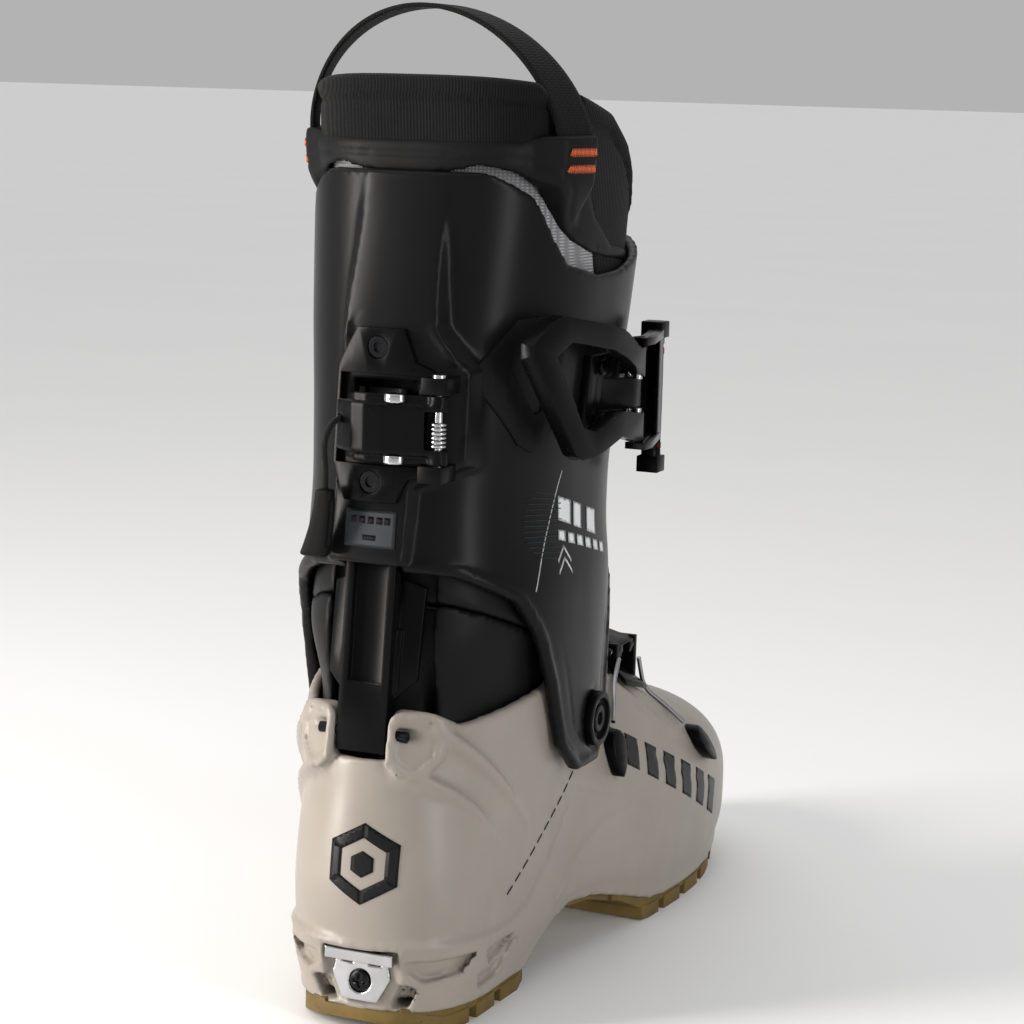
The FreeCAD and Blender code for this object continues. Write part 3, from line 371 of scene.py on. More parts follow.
def plastic(name, colour, rough, grain, coat=0.0, shine=0.5):
    """Moulded plastic: fine grain, faint flow marks and handling marks in the gloss."""
    n = Nodes(name)
    smear = n.noise(60.0, 6.0, n.stretched((1.0, 1.0, 0.35)))
    gloss = n.math("MULTIPLY_ADD", smear, 0.16, rough - 0.08)
    normal = n.bump(n.noise(2600.0, 2.0), grain, 0.00006, n.edge())
    return n.finish(Base_Color=shades(n, colour, 0.06), Roughness=gloss, Normal=normal, Coat_Weight=coat,
                    Coat_Roughness=0.25, IOR=1.5, Specular_IOR_Level=shine)


def metal(name, colour, rough, brushed=(1.0, 1.0, 12.0)):
    n = Nodes(name)
    lines = n.noise(900.0, 3.0, n.stretched(brushed))
    gloss = n.math("MULTIPLY_ADD", lines, 0.16, rough - 0.08)
    normal = n.bump(lines, 0.1, 0.00003, n.edge(0.0004))
    return n.finish(Base_Color=shades(n, colour, 0.08, 120.0), Metallic=1.0, Roughness=gloss, Normal=normal)


def rubber(name, colour, speck):
    """Crepe rubber with dark and pale crumbs in it."""
    n = Nodes(name)
    cells = n.add("ShaderNodeTexVoronoi", {"Vector": n.place, "Scale": 520.0, "Randomness": 1.0})
    crumbs = n.ramp(cells.outputs["Distance"], [(0.10, (1, 1, 1)), (0.2, (0, 0, 0))])
    chosen = n.ramp(n.noise(300.0, 1.0), [(0.56, (0, 0, 0)), (0.62, (1, 1, 1))])
    share = n.math("MULTIPLY", crumbs, chosen)
    base = n.mix(share, shades(n, colour, 0.18, 90.0), speck)
    normal = n.bump(n.noise(1500.0, 4.0), 0.35, 0.00015, n.edge(0.0008))
    gloss = n.math("MULTIPLY_ADD", n.noise(40.0), 0.2, 0.5)
    return n.finish(Base_Color=base, Roughness=gloss, Normal=normal, Specular_IOR_Level=0.25)


def cloth(name, colour, pitch=0.0012, sheen=0.10, rough=0.85, strength=0.5):
    """Woven or knitted cloth: two crossing sets of threads, pitch metres apart, with uneven shade."""
    n = Nodes(name)
    threads = {"Vector": n.place, "Scale": 0.314 / pitch, "Distortion": 1.2, "Detail": 2.0}
    waves = [n.add("ShaderNodeTexWave", threads, bands_direction=way).outputs["Fac"] for way in ("X", "Z")]
    weave = n.math("MULTIPLY", *waves)
    dark, light = (tuple(c * share for c in colour) for share in (0.55, 1.35))
    base = n.mix(weave, dark, shades(n, light, 0.15, 60.0))
    normal = n.bump(weave, strength, 0.00025)
    return n.finish(Base_Color=base, Roughness=rough, Normal=normal, Sheen_Weight=sheen, Sheen_Roughness=0.5,
                    Specular_IOR_Level=0.15)


def ribbed(name, colour):
    """Ribbed knit: fine upright ribs round the collar, with a short stitch."""
    n = Nodes(name)
    upright = {"Vector": n.stretched((1.0, 0.8, 0.02)), "Scale": 520.0, "Distortion": 0.4, "Detail": 1.0,
               "Detail Scale": 6.0}
    ribs = n.add("ShaderNodeTexWave", upright, bands_direction="DIAGONAL").outputs["Fac"]
    level = {"Vector": n.place, "Scale": 330.0, "Distortion": 1.5, "Detail": 1.0}
    rows = n.add("ShaderNodeTexWave", level, bands_direction="Z").outputs["Fac"]
    height = n.math("MULTIPLY_ADD", rows, 0.35, ribs)
    dark, light = (tuple(c * share for c in colour) for share in (0.4, 1.5))
    base = n.mix(ribs, dark, shades(n, light, 0.2, 80.0))
    return n.finish(Base_Color=base, Roughness=0.9, Normal=n.bump(height, 0.5, 0.0003), Sheen_Weight=0.05,
                    Sheen_Roughness=0.4, Specular_IOR_Level=0.15)


BEIGE = plastic("beige_plastic", (0.265, 0.236, 0.204), 0.38, 0.05, 0.06, shine=0.35)
CUFF_BLACK = plastic("cuff_plastic", (0.0055, 0.0055, 0.006), 0.30, 0.10, shine=0.10)
HARD_BLACK = plastic("hard_black_plastic", (0.0025, 0.0025, 0.003), 0.28, 0.2, shine=0.08)
INK = plastic("black_ink", (0.006, 0.006, 0.007), 0.34, 0.05, shine=0.2)
PALE_INK = plastic("pale_ink", (0.62, 0.63, 0.64), 0.5, 0.05)
SLATE = plastic("slate_plastic", (0.028, 0.033, 0.037), 0.5, 0.15, shine=0.2)
# Near-black rubber of the cord grip; on the lever pad under the buckle lever it also stands for the lever's
# shadow on the cuff: painted shadow.
PAD_RUBBER_AND_PAINTED_SHADOW = plastic("pad_rubber_and_painted_shadow", (0.003, 0.003, 0.003), 0.60, 0.3, shine=0.12)
PANEL = plastic("panel_rubber", (0.007, 0.007, 0.0075), 0.46, 0.25, shine=0.08)
LINER_SKIN = plastic("liner_skin", (0.005, 0.005, 0.0055), 0.44, 0.2, shine=0.10)
BOARD = plastic("board_plastic", (0.02, 0.02, 0.02), 0.6, 0.3, shine=0.2)
STEEL = metal("polished_steel", (0.48, 0.48, 0.49), 0.18)
# Near-black steel; on the plate screws its darkness also stands for the shade deep in their sockets: painted
# shade.
DARK_STEEL_AND_PAINTED_SHADE = metal("dark_steel", (0.020, 0.020, 0.022), 0.26)
CABLE_STEEL = metal("cable_steel", (0.30, 0.30, 0.31), 0.28, (8.0, 8.0, 8.0))
GUM = rubber("gum_rubber", (0.128, 0.084, 0.022), (0.02, 0.013, 0.008))
KNIT = ribbed("ribbed_knit", (0.004, 0.004, 0.0045))
WEBBING = cloth("webbing", (0.0032, 0.0032, 0.0035), 0.0009, 0.02, 0.75, 0.8)
LINING = cloth("lining", (0.006, 0.006, 0.007), 0.0012, 0.05)
SILVER_MESH = cloth("silver_mesh", (0.28, 0.28, 0.29), 0.0011, 0.1, 0.6, 1.0)
ORANGE = cloth("orange_thread", (0.85, 0.15, 0.045), 0.0006, 0.1, 0.6)
CORD_BLACK = cloth("braid", (0.006, 0.006, 0.006), 0.0008, 0.05, 0.7)
STRAP_STRIPE = cloth("strap_stripe", (0.45, 0.06, 0.05), 0.0009, 0.1, 0.7)


def paint(piece, material):
    piece.data.materials.clear()
    piece.data.materials.append(material)


def place(piece, body, material, slot, *nodes):
    """Gives a piece its material and body, and hides the CAD nodes that it stands for."""
    paint(piece, material)
    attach(piece, body)
    if nodes:
        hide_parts(*nodes)


# ---------------- camera and studio
CAMERA_AT = (380.2, -800.1, 325.4)
TARGET = (8.15, 72.79, 166.26)
ROLL = math.radians(1.57)
LENS = 90.96
FLOOR_HALF = 40000


def make_camera():
    camera = linked("camera", bpy.data.cameras.new("camera"))
    back = (Vector(CAMERA_AT) - Vector(TARGET)).normalized()
    right = Vector((0, 0, 1)).cross(back).normalized()
    up = back.cross(right)
    level = Matrix((right, up, back)).transposed()
    turn = Matrix.Rotation(ROLL, 3, "Z")
    camera.matrix_world = Matrix.Translation(Vector(CAMERA_AT) * MM) @ (level @ turn).to_4x4()
    camera.data.lens = LENS
    camera.data.sensor_width = 36.0
    camera.data.clip_start = 0.05
    bpy.context.scene.camera = camera


def area_light(name, at, aim, size, power, colour=(1, 1, 1)):
    data = bpy.data.lights.new(name, "AREA")
    data.shape = "RECTANGLE"
    data.size, data.size_y = size
    data.energy = power
    data.color = colour
    lamp = linked(name, data)
    lamp.location = at
    lamp.rotation_euler = (Vector(aim) - Vector(at)).to_track_quat("-Z", "Y").to_euler()


def make_studio():
    world = bpy.data.worlds.new("studio")
    world.use_nodes = True
    sky = world.node_tree.nodes["Background"].inputs
    sky["Color"].default_value = (1, 1, 1, 1)
    sky["Strength"].default_value = 0.45
    bpy.context.scene.world = world
    middle = (0, 0.08, 0.17)
    area_light("left_panel", (-0.85, -0.65, 0.35), middle, (0.26, 1.2), 27, (1.0, 0.95, 0.89))
    area_light("right_panel", (1.25, -0.45, 0.50), middle, (0.22, 1.2), 8)
    sun = bpy.data.lights.new("sky_panel", "SUN")
    sun.energy, sun.angle = 1.0, 1.4
    linked("sky_panel", sun).rotation_euler = (math.radians(-18), math.radians(-14), 0)
    bpy.context.scene.view_settings.view_transform = "Standard"
    corners = [(x * FLOOR_HALF, y * FLOOR_HALF, 0) for x, y in ((-1, -1), (1, -1), (1, 1), (-1, 1))]
    floor = mesh_object("floor", corners, [(0, 1, 2, 3)])
    n = Nodes("floor")
    paint(floor, n.finish(Base_Color=shades(n, (0.80, 0.80, 0.80), 0.01, 3.0), Roughness=0.75))


make_camera()
make_studio()


# ---------------- cord of the walk lever
CORD_POINTS = [(-10.8, -28.0, 211.5), (-10.8, -34.0, 211.5), (-11.2, -39.0, 209.2), (-12.0, -40.8, 204.6),
               (-12.8, -39.2, 199.8), (-13.8, -36.2, 195.4), (-13.8, -36.2, 188.0)]
CORD_R = 1.1
GRIP_LENGTH = 24.0


def make_cord():
    """Braided cord from the eye of the lever down to its grip."""
    curve = bpy.data.curves.new("lever_cord_braid", "CURVE")
    curve.dimensions = "3D"
    curve.bevel_depth = CORD_R * MM
    curve.bevel_resolution = 6
    curve.resolution_u = 10
    curve.use_fill_caps = True
    spline = curve.splines.new("NURBS")
    spline.points.add(len(CORD_POINTS) - 1)
    for point, at in zip(spline.points, CORD_POINTS):
        point.co = (*[v * MM for v in at], 1.0)
    spline.order_u = 3
    spline.use_endpoint_u = True
    cord = linked("lever_cord_braid", curve)
    place(cord, "lock_lever", CORD_BLACK, "cord", "lever_cord")
    make_grip()


def make_grip():
    """Soft moulded grip that flares from the cord to its flat lower end, with a groove down its side."""
    x, y, top = CORD_POINTS[-1]
    low = top - GRIP_LENGTH
    g = Grid((x - 14, y - 6, low - 2), (x + 7, y + 9, top + 2), 0.45)
    t = np.clip((top - g.z) / GRIP_LENGTH, 0, 1)
    middle_x, middle_y = x - 5.0 * t ** 1.6, y + 2.4 * t
    half = 3.0 + 2.3 * t ** 1.3
    grip = superellipse((g.x - middle_x) / half, (g.y - middle_y) / (2.9 + 0.1 * t), 3.2)
    grip = g.distance(grip - 1)
    groove = np.hypot(g.x - middle_x - half, g.y - middle_y + 1.2) - 0.9
    grip = carve(grip, np.maximum(groove, np.abs(g.z - top + GRIP_LENGTH / 2) - 8), 0.4)
    grip = smooth_max(grip, np.maximum(g.z - top + 0.2, low + 0.2 - g.z), 1.4)
    grip = contour("cord_grip_moulded", g, grip, 1)
    place(grip, "lock_lever", PAD_RUBBER_AND_PAINTED_SHADOW, "pad", "cord_grip")
    return grip


make_cord()

# ---------------- lower shell
# seen from the side (along, up) or from behind (across, up)
RIM = [(-60, 0), (-60, 113), (-26, 113), (-14, 106.7), (27, 114.5), (48, 124), (84, 127), (104, 119),
       (124, 104), (150, 125), (280, 125), (280, 0)]
THROAT = [(64, 140), (80, 104), (122, 88), (122, 140)]
BRACKET = [(9.8, 96), (9.8, 110), (13, 113.4), (24, 113.4), (28.5, 108), (27, 97), (21, 89.5), (14, 91.5)]
RIBS = [  # side view points, height and half width of the ridge at its start
    ([(-25, 107), (-10, 93), (4, 79), (19, 62)], 4.0, 4.2),
    ([(-31, 91), (-17, 81), (-7, 70), (0, 60)], 3.4, 3.6),
    ([(104, 108), (128, 84), (152, 68), (178, 60)], 1.5, 3.0),
    ([(120, 100), (150, 80), (176, 70), (205, 62)], 1.2, 3.0),
    ([(44, 30), (62, 44), (84, 52), (110, 50)], 1.2, 3.4),
]
CREASES = [  # soft grooves over the forefoot and under the ankle
    ([(126, 66), (150, 52), (182, 44), (214, 44)], 0.7, 2.2),
    ([(60, 70), (90, 58), (128, 40), (160, 30)], 0.5, 1.6),
]
BRACKET_INSET = [(13.2, 98), (13.2, 108), (15, 110.4), (23, 110.4), (25.5, 106.5), (24.3, 98), (20, 93.4),
                 (16, 94.6)]
POCKETS = [  # rear view outline of each recess beside the heel fitting
    [(19.5, 27.6), (37, 27.2), (34, 21.5), (24.5, 19.6), (20.5, 23.6)],
    [(-11.5, 27.6), (-29, 27.2), (-27, 21.5), (-17.5, 19.6), (-12.5, 23.6)],
    [(17.6, 19.0), (23.6, 17.6), (19.6, 10), (13.8, 10)],
    [(-9.6, 19.0), (-15.6, 17.6), (-11.6, 10), (-5.8, 10)],
]
SIDE_FACETS = [  # side view outline of each angular recess low on the heel
    [(-10, 26.4), (12, 27.6), (-6, 20.0)],
    [(-13, 18.6), (-2, 19.4), (8, 24.6), (14, 25.4), (2, 13.6), (-10, 12.6)],
]
HEEL_BAND = [(-40, 33), (6, 31.5), (20, 36), (34, 47), (50, 62), (66, 78)]  # its upper edge from the side
HEEL_MARK = (4.8, 61.0)
# the flap seen from above (across, along) and from the side
FLAP_PLAN = rounded([(-24, 96), (26, 96), (33, 122), (34, 150), (22, 182), (0, 186), (-24, 158), (-29, 122)])
FLAP_SIDE = [(94, 60), (195, 60), (195, 130), (112, 119), (98, 113)]
FOOT_LINER = [(-60, 26.4), (-60, 96), (-26, 96), (-8, 103), (30, 111), (84, 111), (98, 108), (112, 98),
              (150, 125), (280, 125), (280, 24.4), (225, 24.4), (190, 19.4), (110, 20.4), (80, 31.4),
              (60, 33.4), (44, 30.4), (20, 26.4)]
THROAT_HALF = 19
FLANGE_IN, FLANGE_RISE = 2.6, 14  # how far inside the foot's outline the flange starts, and its height


def shell_outside(g):
    ankle = np.maximum(leg_field(g, ANKLE_SECTION, HEEL_N), 32 - g.z)
    shell = smooth_min(foot_field(g), ankle, 10.0)
    return smooth_min(shell, flange(g), 3.0)


def flange(g):
    """Upright band round the bottom edge of the shell, above the rubber."""
    low = FOOT_LOW(g.y)
    plan = g.distance(foot_reach(g) - 1) + FLANGE_IN
    return np.maximum(plan, np.maximum(low - 0.2 - g.z, g.z - low - FLANGE_RISE))


def throat(g):
    """Opening over the instep, in the shell and in the liner under it."""
    return np.maximum(polygon(THROAT, g.y, g.z), np.abs(g.x) - THROAT_HALF)


def along_line(points, u, v):
    """(distance to an open line, share of the way along it)."""
    spans = [math.dist(a, b) for a, b in zip(points, points[1:])]
    best, share, start = np.full(u.shape, 1e9, np.float32), np.zeros(u.shape, np.float32), 0.0
    for a, b, span in zip(points, points[1:], spans):
        d, t = segment(a, b, u, v)
        nearer = d < best
        best = np.where(nearer, d, best)
        share = np.where(nearer, (start + t * span) / sum(spans), share)
        start += span
    return best, share


def ridge(g, points, height, half):
    """Height of a raised line on both sides of the shell, which thins out towards its far end."""
    smooth = bend(points)
    d, share = along_line(smooth, g.y, g.z)
    fade = np.clip(1 - share, 0, 1) ** 0.8
    return height * fade * np.clip(1.25 * (1 - d / (half * (0.35 + 0.65 * fade))), 0, 1)


def bend(points, times=2):
    """Open line with its corners rounded by cutting them, ends kept."""
    for _ in range(times):
        cut = [points[0]]
        for (x0, y0), (x1, y1) in zip(points, points[1:]):
            for share in (0.25, 0.75):
                cut.append((x0 * (1 - share) + x1 * share, y0 * (1 - share) + y1 * share))
        points = cut + [points[-1]]
    return points


def heel_step(g):
    """Raised band round the foot of the heel, whose upper edge climbs to the arch on each side."""
    edge = np.interp(g.y, *zip(*HEEL_BAND))
    gone = 1 - step(g.y, 18, 60)
    lip = 1.3 * tent(g.z - edge, 2.0) * gone
    return 1.2 * step(edge - g.z, -1.0, 1.6) * gone + lip


def add_relief(g, plain):
    """Outside of the shell with its ribs, creases, heel band, brackets and recesses."""
    raised = sum(ridge(g, *rib) for rib in RIBS) - sum(ridge(g, *crease) for crease in CREASES) + heel_step(g)
    beside = step(np.abs(g.x), 6, 14)
    outside = plain - raised * beside - heel_step(g) * (1 - beside)
    rear = g.y < 0
    across = np.abs(g.x)
    bracket = np.maximum(polygon(BRACKET, across, g.z), plain - 3.6)
    bracket = np.where(rear, np.maximum(bracket, -plain - 9), NOWHERE)
    inset = np.maximum(polygon(BRACKET_INSET, across, g.z), 2.2 - plain)
    bracket = carve(bracket, np.where(rear, inset, NOWHERE), 0.4)
    outside = smooth_min(outside, bracket, 0.9)
    for outline in POCKETS:
        floor = -1.2 - 0.10 * np.abs(g.z - 30) - plain
        outside = carve(outside, np.where(rear, np.maximum(polygon(outline, g.x, g.z), floor), NOWHERE), 0.6)
    for outline in SIDE_FACETS:
        outside = carve(outside, np.maximum(polygon(outline, g.y, g.z), -1.5 - plain), 0.5)
    return outside


def open_shell(g, shell):
    """Shell with its rim, the slot of the bar, the throat, seats of the fittings and holes of the pins."""
    across = np.abs(g.x)
    shell = smooth_max(shell, polygon(RIM, g.y, g.z), 1.4)
    shell = carve(shell, box_field(g, (-10.0, -70, 96.0), (10.0, -12, 150)), 1.0)
    shell = carve(shell, throat(g), 1.5)
    shell = carve(shell, box_field(g, (HEEL_X - 13.6, -60, 11.0), (HEEL_X + 13.6, -36.9, 31.0)), 0.4)
    shell = carve(shell, box_field(g, (-16, 246, 18), (4, 270, 34)), 0.4)
    pivot = np.maximum(np.hypot(g.y - PIVOT_Y, g.z - PIVOT_Z) - 8.1, 30 - across)
    shell = carve(shell, np.maximum(pivot, across - 38.3), 0.4)
    bar_pin = np.hypot((g.y + 30.5) * 0.7, g.z - 105.2) - 2.0
    return carve(shell, np.maximum(bar_pin, np.maximum(across - 30, 12.0 - across)), 0.6)


def make_lower_shell():
    g = Grid((-60, -46, 3), (65, 263, 131), 1.25)
    plain = shell_outside(g)
    shell = open_shell(g, np.maximum(add_relief(g, plain), -(plain + SHELL_T)))
    shell = contour("lower_shell_moulded", g, shell, 2)
    thin_inside(shell, g, plain + SHELL_T, 0.7)
    place(shell, "lower", BEIGE, "shell", "lower_shell")
    make_flap(g, plain)
    make_foot_liner(g, plain)
    return shell


def make_flap(g, plain):
    """Thin flap over the throat, with two sunk lines along it."""
    lines = 0.5 * tent(np.abs(g.x + 1) - 11 - 0.05 * (g.y - 96), 1.2)
    flap = np.maximum(plain - 2.2, 0.2 - plain) + lines
    flap = smooth_max(flap, polygon(FLAP_PLAN, g.x, g.y), 1.2)
    flap = smooth_max(flap, polygon(FLAP_SIDE, g.y, g.z), 1.2)
    flap = contour("instep_flap_moulded", g, flap, 2)
    place(flap, "lower", PANEL, "hard_black", "instep_flap")


def thin_inside(piece, g, depth, ratio):
    """Collapses the mesh where the depth field says inner surface, and leaves the outer one as it is."""
    points = np.array([v.co for v in piece.data.vertices]) / MM
    cell = np.clip(((points - g.low) / g.cell).astype(int), 0, np.array(depth.shape) - 1)
    inner = depth[cell[:, 0], cell[:, 1], cell[:, 2]] < 1.2
    group = piece.vertex_groups.new(name="inner")
    group.add(np.flatnonzero(inner).tolist(), 1.0, "REPLACE")
    shrink = piece.modifiers.new("thin_inside", "DECIMATE")
    shrink.ratio = ratio
    shrink.vertex_group = "inner"
    shrink.vertex_group_factor = 1.0
    apply_modifiers(piece)
    piece.vertex_groups.clear()


def apply_modifiers(piece):
    graph = bpy.context.evaluated_depsgraph_get()
    graph.update()
    mesh = bpy.data.meshes.new_from_object(piece.evaluated_get(graph))
    piece.modifiers.clear()
    piece.data = mesh
    mesh.shade_smooth()


def make_foot_liner(g, plain):
    """Soft bootie inside the shell: only its upper edge and its inside show."""
    liner = np.maximum(plain + 4.6, -(plain + 10.2))
    liner = smooth_max(liner, polygon(FOOT_LINER, g.y, g.z), 2.0)
    liner = carve(liner, throat(g), 1.5)
    liner = np.maximum(liner, -box_field(g, (-11.2, -70, 90), (11.2, -26.2, 150)))
    liner = contour("foot_liner_soft", g, liner, 2)
    place(liner, "lower", LINING, "liner", "heel_liner", "foot_liner")


LOWER = make_lower_shell()

# ---------------- cuff
CUFF_LOW = [(130, 164), (118, 160), (99, 150), (85, 124), (78, 100), (73, 86), (62, 79.5), (40, 80.5),
            (26, 92), (19, 114), (11, 134), (1, 148), (-18, 158.5), (-45, 163)]
CUFF_TOP = [(-45, 294), (-4, 294), (8, 286), (16, 272), (23.5, 263), (45, 258.5), (64, 259), (90, 263),
            (114, 269), (150, 274), (150, 164)]
BOSS = [(-18.5, 161), (-16.5, 190), (-16.5, 250), (-12, 296), (17, 296), (20, 252), (21, 243), (31.6, 228),
        (31.6, 196), (14.5, 188), (13.2, 161)]
PLATE = [(-8.6, 242.8), (9.6, 242.8), (14.2, 231.8), (28.2, 229), (28.2, 191), (13.4, 191.4), (10, 183.2),
         (-10, 183.2), (-15.8, 195.6), (-15.8, 229.4)]


def raised_back(g, leg):
    """Boss behind the cuff: it carries the rear lock and sinks into the cuff towards the top."""
    fade = step(g.z, 244, 292)
    plate_edge = polygon(PLATE, g.x, g.z)
    boss_edge = polygon(BOSS, g.x, g.z)
    surround = step(boss_edge + 4, -1, 1) * step(246 - g.z, 0, 6) * step(g.z, 184, 190)
    height = BOSS_OUT - 4.9 * fade + 1.5 * surround * step(plate_edge, 0.2, 1.4)
    boss = smooth_max(leg - height, boss_edge * (1 - 0.5 * fade) + 0.35 * leg, 0.8)
    return np.where(g.y < 4, boss, NOWHERE)


def make_cuff():
    g = Grid((-63, -31, 74), (63, 134, 299), 1.25)
    leg = leg_field(g)
    across = np.abs(g.x)
    low_edge = -polygon(CUFF_TOP + CUFF_LOW, g.y, g.z)
    at_low = step(190 - 0.4 * np.abs(g.y) - g.z, 0, 12)
    rim = 1.1 * step(4.6 - low_edge, 0.0, 1.6) * at_low
    arm = 0.45 * tent(low_edge - 12.0, 1.2) * step(150 - g.z, 0, 20) * step(g.y, 24, 34)
    outside = smooth_min(leg - rim + arm, raised_back(g, leg), 1.3)
    cuff = np.maximum(outside, -(leg + CUFF_T))
    cuff = carve(cuff, low_edge, 1.3)
    tunnel = np.maximum(box_field(g, (-9.9, -50, 100), (9.9, 6, 246)), leg - TUNNEL_OUT)
    cuff = np.maximum(cuff, -tunnel)
    cuff = carve(cuff, box_field(g, (-9.5, -60, 201), (14, -8, 224)), 0.6)
    cuff = carve(cuff, box_field(g, (-16, 90, 60), (-12, 150, 310)), 0.8)
    from_pivot = np.hypot(g.y - PIVOT_Y, g.z - PIVOT_Z)
    cuff = carve(cuff, np.maximum(from_pivot - 10.5, 48.2 - across), 0.5)
    cuff = np.maximum(cuff, -np.maximum(from_pivot - 2.6, 30 - across))
    cuff = contour("cuff_moulded", g, cuff, 1)
    thin_inside(cuff, g, leg + CUFF_T, 0.66)
    place(cuff, "cuff", CUFF_BLACK, "cuff", "cuff_shell")
    return cuff


CUFF = make_cuff()

# ---------------- liner
PANEL_EDGE = [(-60, 304.5), (4, 304), (10, 306.5), (30, 307), (35, 296), (47, 279), (64, 268), (90, 264.5),
              (90, 260.5), (60, 263.5), (46, 266), (32, 270.5), (25, 275), (18, 283), (12, 289), (5, 293.5),
              (-4, 296.5), (-10, 291), (-60, 290)]
PANEL_LINES = [
    [(-30, 300), (6, 299.5), (16, 292), (23, 281), (32, 273), (50, 267.5)],
    [(-30, 296.5), (-2, 300)],
]
MESH_FROM_Z = 250
CHANNEL_PITCH = 24
TONGUE = [(60, 150), (100, 150), (140, 164), (140, 296), (60, 302)]
ANKLE_WALL = [(-60, 157.6), (-20, 149.6), (20, 133.6), (46, 130.6), (68, 132.6), (84, 137.6), (120, 155.6),
              (124, 110), (112, 98.4), (98, 108.4), (84, 111.4), (30, 111.4), (-8, 103.4), (-26, 96.4),
              (-60, 96.4)]
KNIT_TOP = [(-60, 327), (-9, 327), (24, 322.5), (56, 315), (75, 304.5), (87, 294), (94, 283), (98, 268)]
KNIT_EDGE = KNIT_TOP + [(98, 256), (52, 256), (42, 280), (24, 296), (-60, 300)]
SKIN = [(-60, 306.7), (-60, 158), (-20, 150), (20, 134), (46, 131), (68, 133), (84, 138), (120, 156),
        (150, 170), (150, 262), (104, 262), (99, 270), (94, 283), (87, 293.5), (80.4, 299.4), (66, 291.7),
        (50, 298.7), (24, 305.7)]


def make_liner():
    g = Grid((-54, -28, 128), (54, 128, 331), 1.45)
    leg = leg_field(g)
    depth = 10.3 + 2.4 * step(-g.y, -4, 2) * step(252 - g.z, 0, 6)
    skin = np.maximum(leg + 5.2 + 0.5 * step(g.z, 246, 250), -(leg + depth))
    skin = smooth_max(skin, polygon(SKIN, g.y, g.z), 1.5)
    for half, low, high, deep in ((19, 100, 188, 8.9), (11, 180, 244, 6.6)):  # room for the bar behind
        groove = np.maximum(box_field(g, (-half, -60, low), (half, 0, high)), -deep - leg)
        skin = np.maximum(skin, -groove)
    skin = np.maximum(skin, -box_field(g, (-24, 84, 100), (24, 160, 330)))
    skin = contour("leg_liner_soft", g, skin, 2)
    place(skin, "cuff", LINER_SKIN, "liner", "leg_liner")
    skin.data.materials.append(SILVER_MESH)
    for face in skin.data.polygons:
        face.material_index = int(face.center.z > MESH_FROM_Z * MM)
    make_tongue(g, leg)


def make_ankle():
    """Soft ankle of the liner: it joins the foot part to the leg part."""
    g = Grid((-54, -36, 88), (54, 124, 166), 1.4)
    leg = leg_field(g)
    ankle = leg_field(g, ANKLE_SECTION, HEEL_N)
    share = step(g.z, 106, 140)
    skin = leg * share + ankle * (1 - share)
    wall = np.maximum(skin + 5.2, -(skin + 9.6 + 6.0 * step(-g.y, -6, 6)))
    wall = np.maximum(wall, polygon(ANKLE_WALL, g.y, g.z))
    groove = smooth_max(box_field(g, (-19, -60, 80), (19, 0, 188)), -11.2 - skin, 1.5)
    wall = carve(wall, groove, 3.0)
    ankle = contour("ankle_liner", g, wall, 2)
    paint(ankle, LINER_SKIN)
    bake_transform(ankle)


def make_tongue(g, leg):
    """Padded tongue between the sides of the liner, with stitched channels across it."""
    wide = 23.4 + 6 * step(g.z, 262, 300)
    swell = 1.3 * np.cos(np.mod(g.z, CHANNEL_PITCH) / CHANNEL_PITCH * 2 * math.pi)
    tongue = np.maximum(leg + 6.4 + 0.4 * swell, -(leg + 13.2))
    tongue = smooth_max(tongue, np.abs(g.x) - wide, 3.0)
    tongue = smooth_max(tongue, polygon(TONGUE, g.y, g.z), 5.0)
    tongue = np.maximum(tongue, 84.3 - g.y)
    tongue = contour("tongue_soft", g, tongue, 2)
    place(tongue, "cuff", LINING, "liner", "tongue")


def make_collar():
    """Ribbed knit collar with a padded roll along its top. Returns the moulded panel round its foot."""
    g = Grid((-56, -14, 250), (56, 112, 331), 1.0)
    leg = leg_field(g, back_n=LEG_N + 0.6 * step(g.z, 276, 302))
    depth = np.interp(g.y, *zip(*KNIT_TOP)) - g.z
    roll = 1.1 * np.clip(1 - ((depth - 3.6) / 3.6) ** 2, 0, 1)
    seam = tent(depth - 8.2, 1.2)
    knit = np.maximum(leg + 5.0 - roll + seam, -(leg + 12.2))
    knit = smooth_max(knit, polygon(KNIT_EDGE, g.y, g.z), 4.0)
    beside = np.abs(g.y - LOOP_Y) - LOOP_WIDE / 2 - 0.7
    passage = np.maximum(beside, np.maximum(288 - g.z, -loop_inside(g, 2.0)))
    knit = carve(knit, passage, 1.0)
    knit = contour("collar_knit", g, knit, 2)
    place(knit, "cuff", KNIT, "knit", "liner_collar")
    return make_back_panel(g, leg)


def make_back_panel(g, leg):
    """Moulded panel with sunk lines, which thickens to a tab under each end of the pull loop."""
    lines = sum(0.55 * tent(along_line(bend(line), g.y, g.z)[0], 1.3) for line in PANEL_LINES)
    edge = polygon(PANEL_EDGE, g.y, g.z)
    thick = 0.5 * step(-edge, 0, 3)
    tab = np.where(g.x > 0, 7.0, 4.4) * step(14.0 - np.abs(g.y - LOOP_Y), 0, 6) * step(g.z, 272, 292)
    panel = smooth_max(np.maximum(leg + 4.4 - thick + lines - tab, -(leg + 6.8)), edge, 0.8)
    panel = contour("back_panel_moulded", g, panel, 2)
    place(panel, "cuff", PANEL, "panel", "back_panel")
    return panel


# ---------------- pull loop
LOOP_HALF, LOOP_X, LOOP_Y, LOOP_Z, LOOP_TOP = 50.5, 1.2, 20.0, 304.0, 350.0
LOOP_WIDE, LOOP_T = 17.0, 1.6
LOOP_LEAN, LOOP_SLANT = 6, 0.38  # how far its top leans inwards, how its width turns at its ends


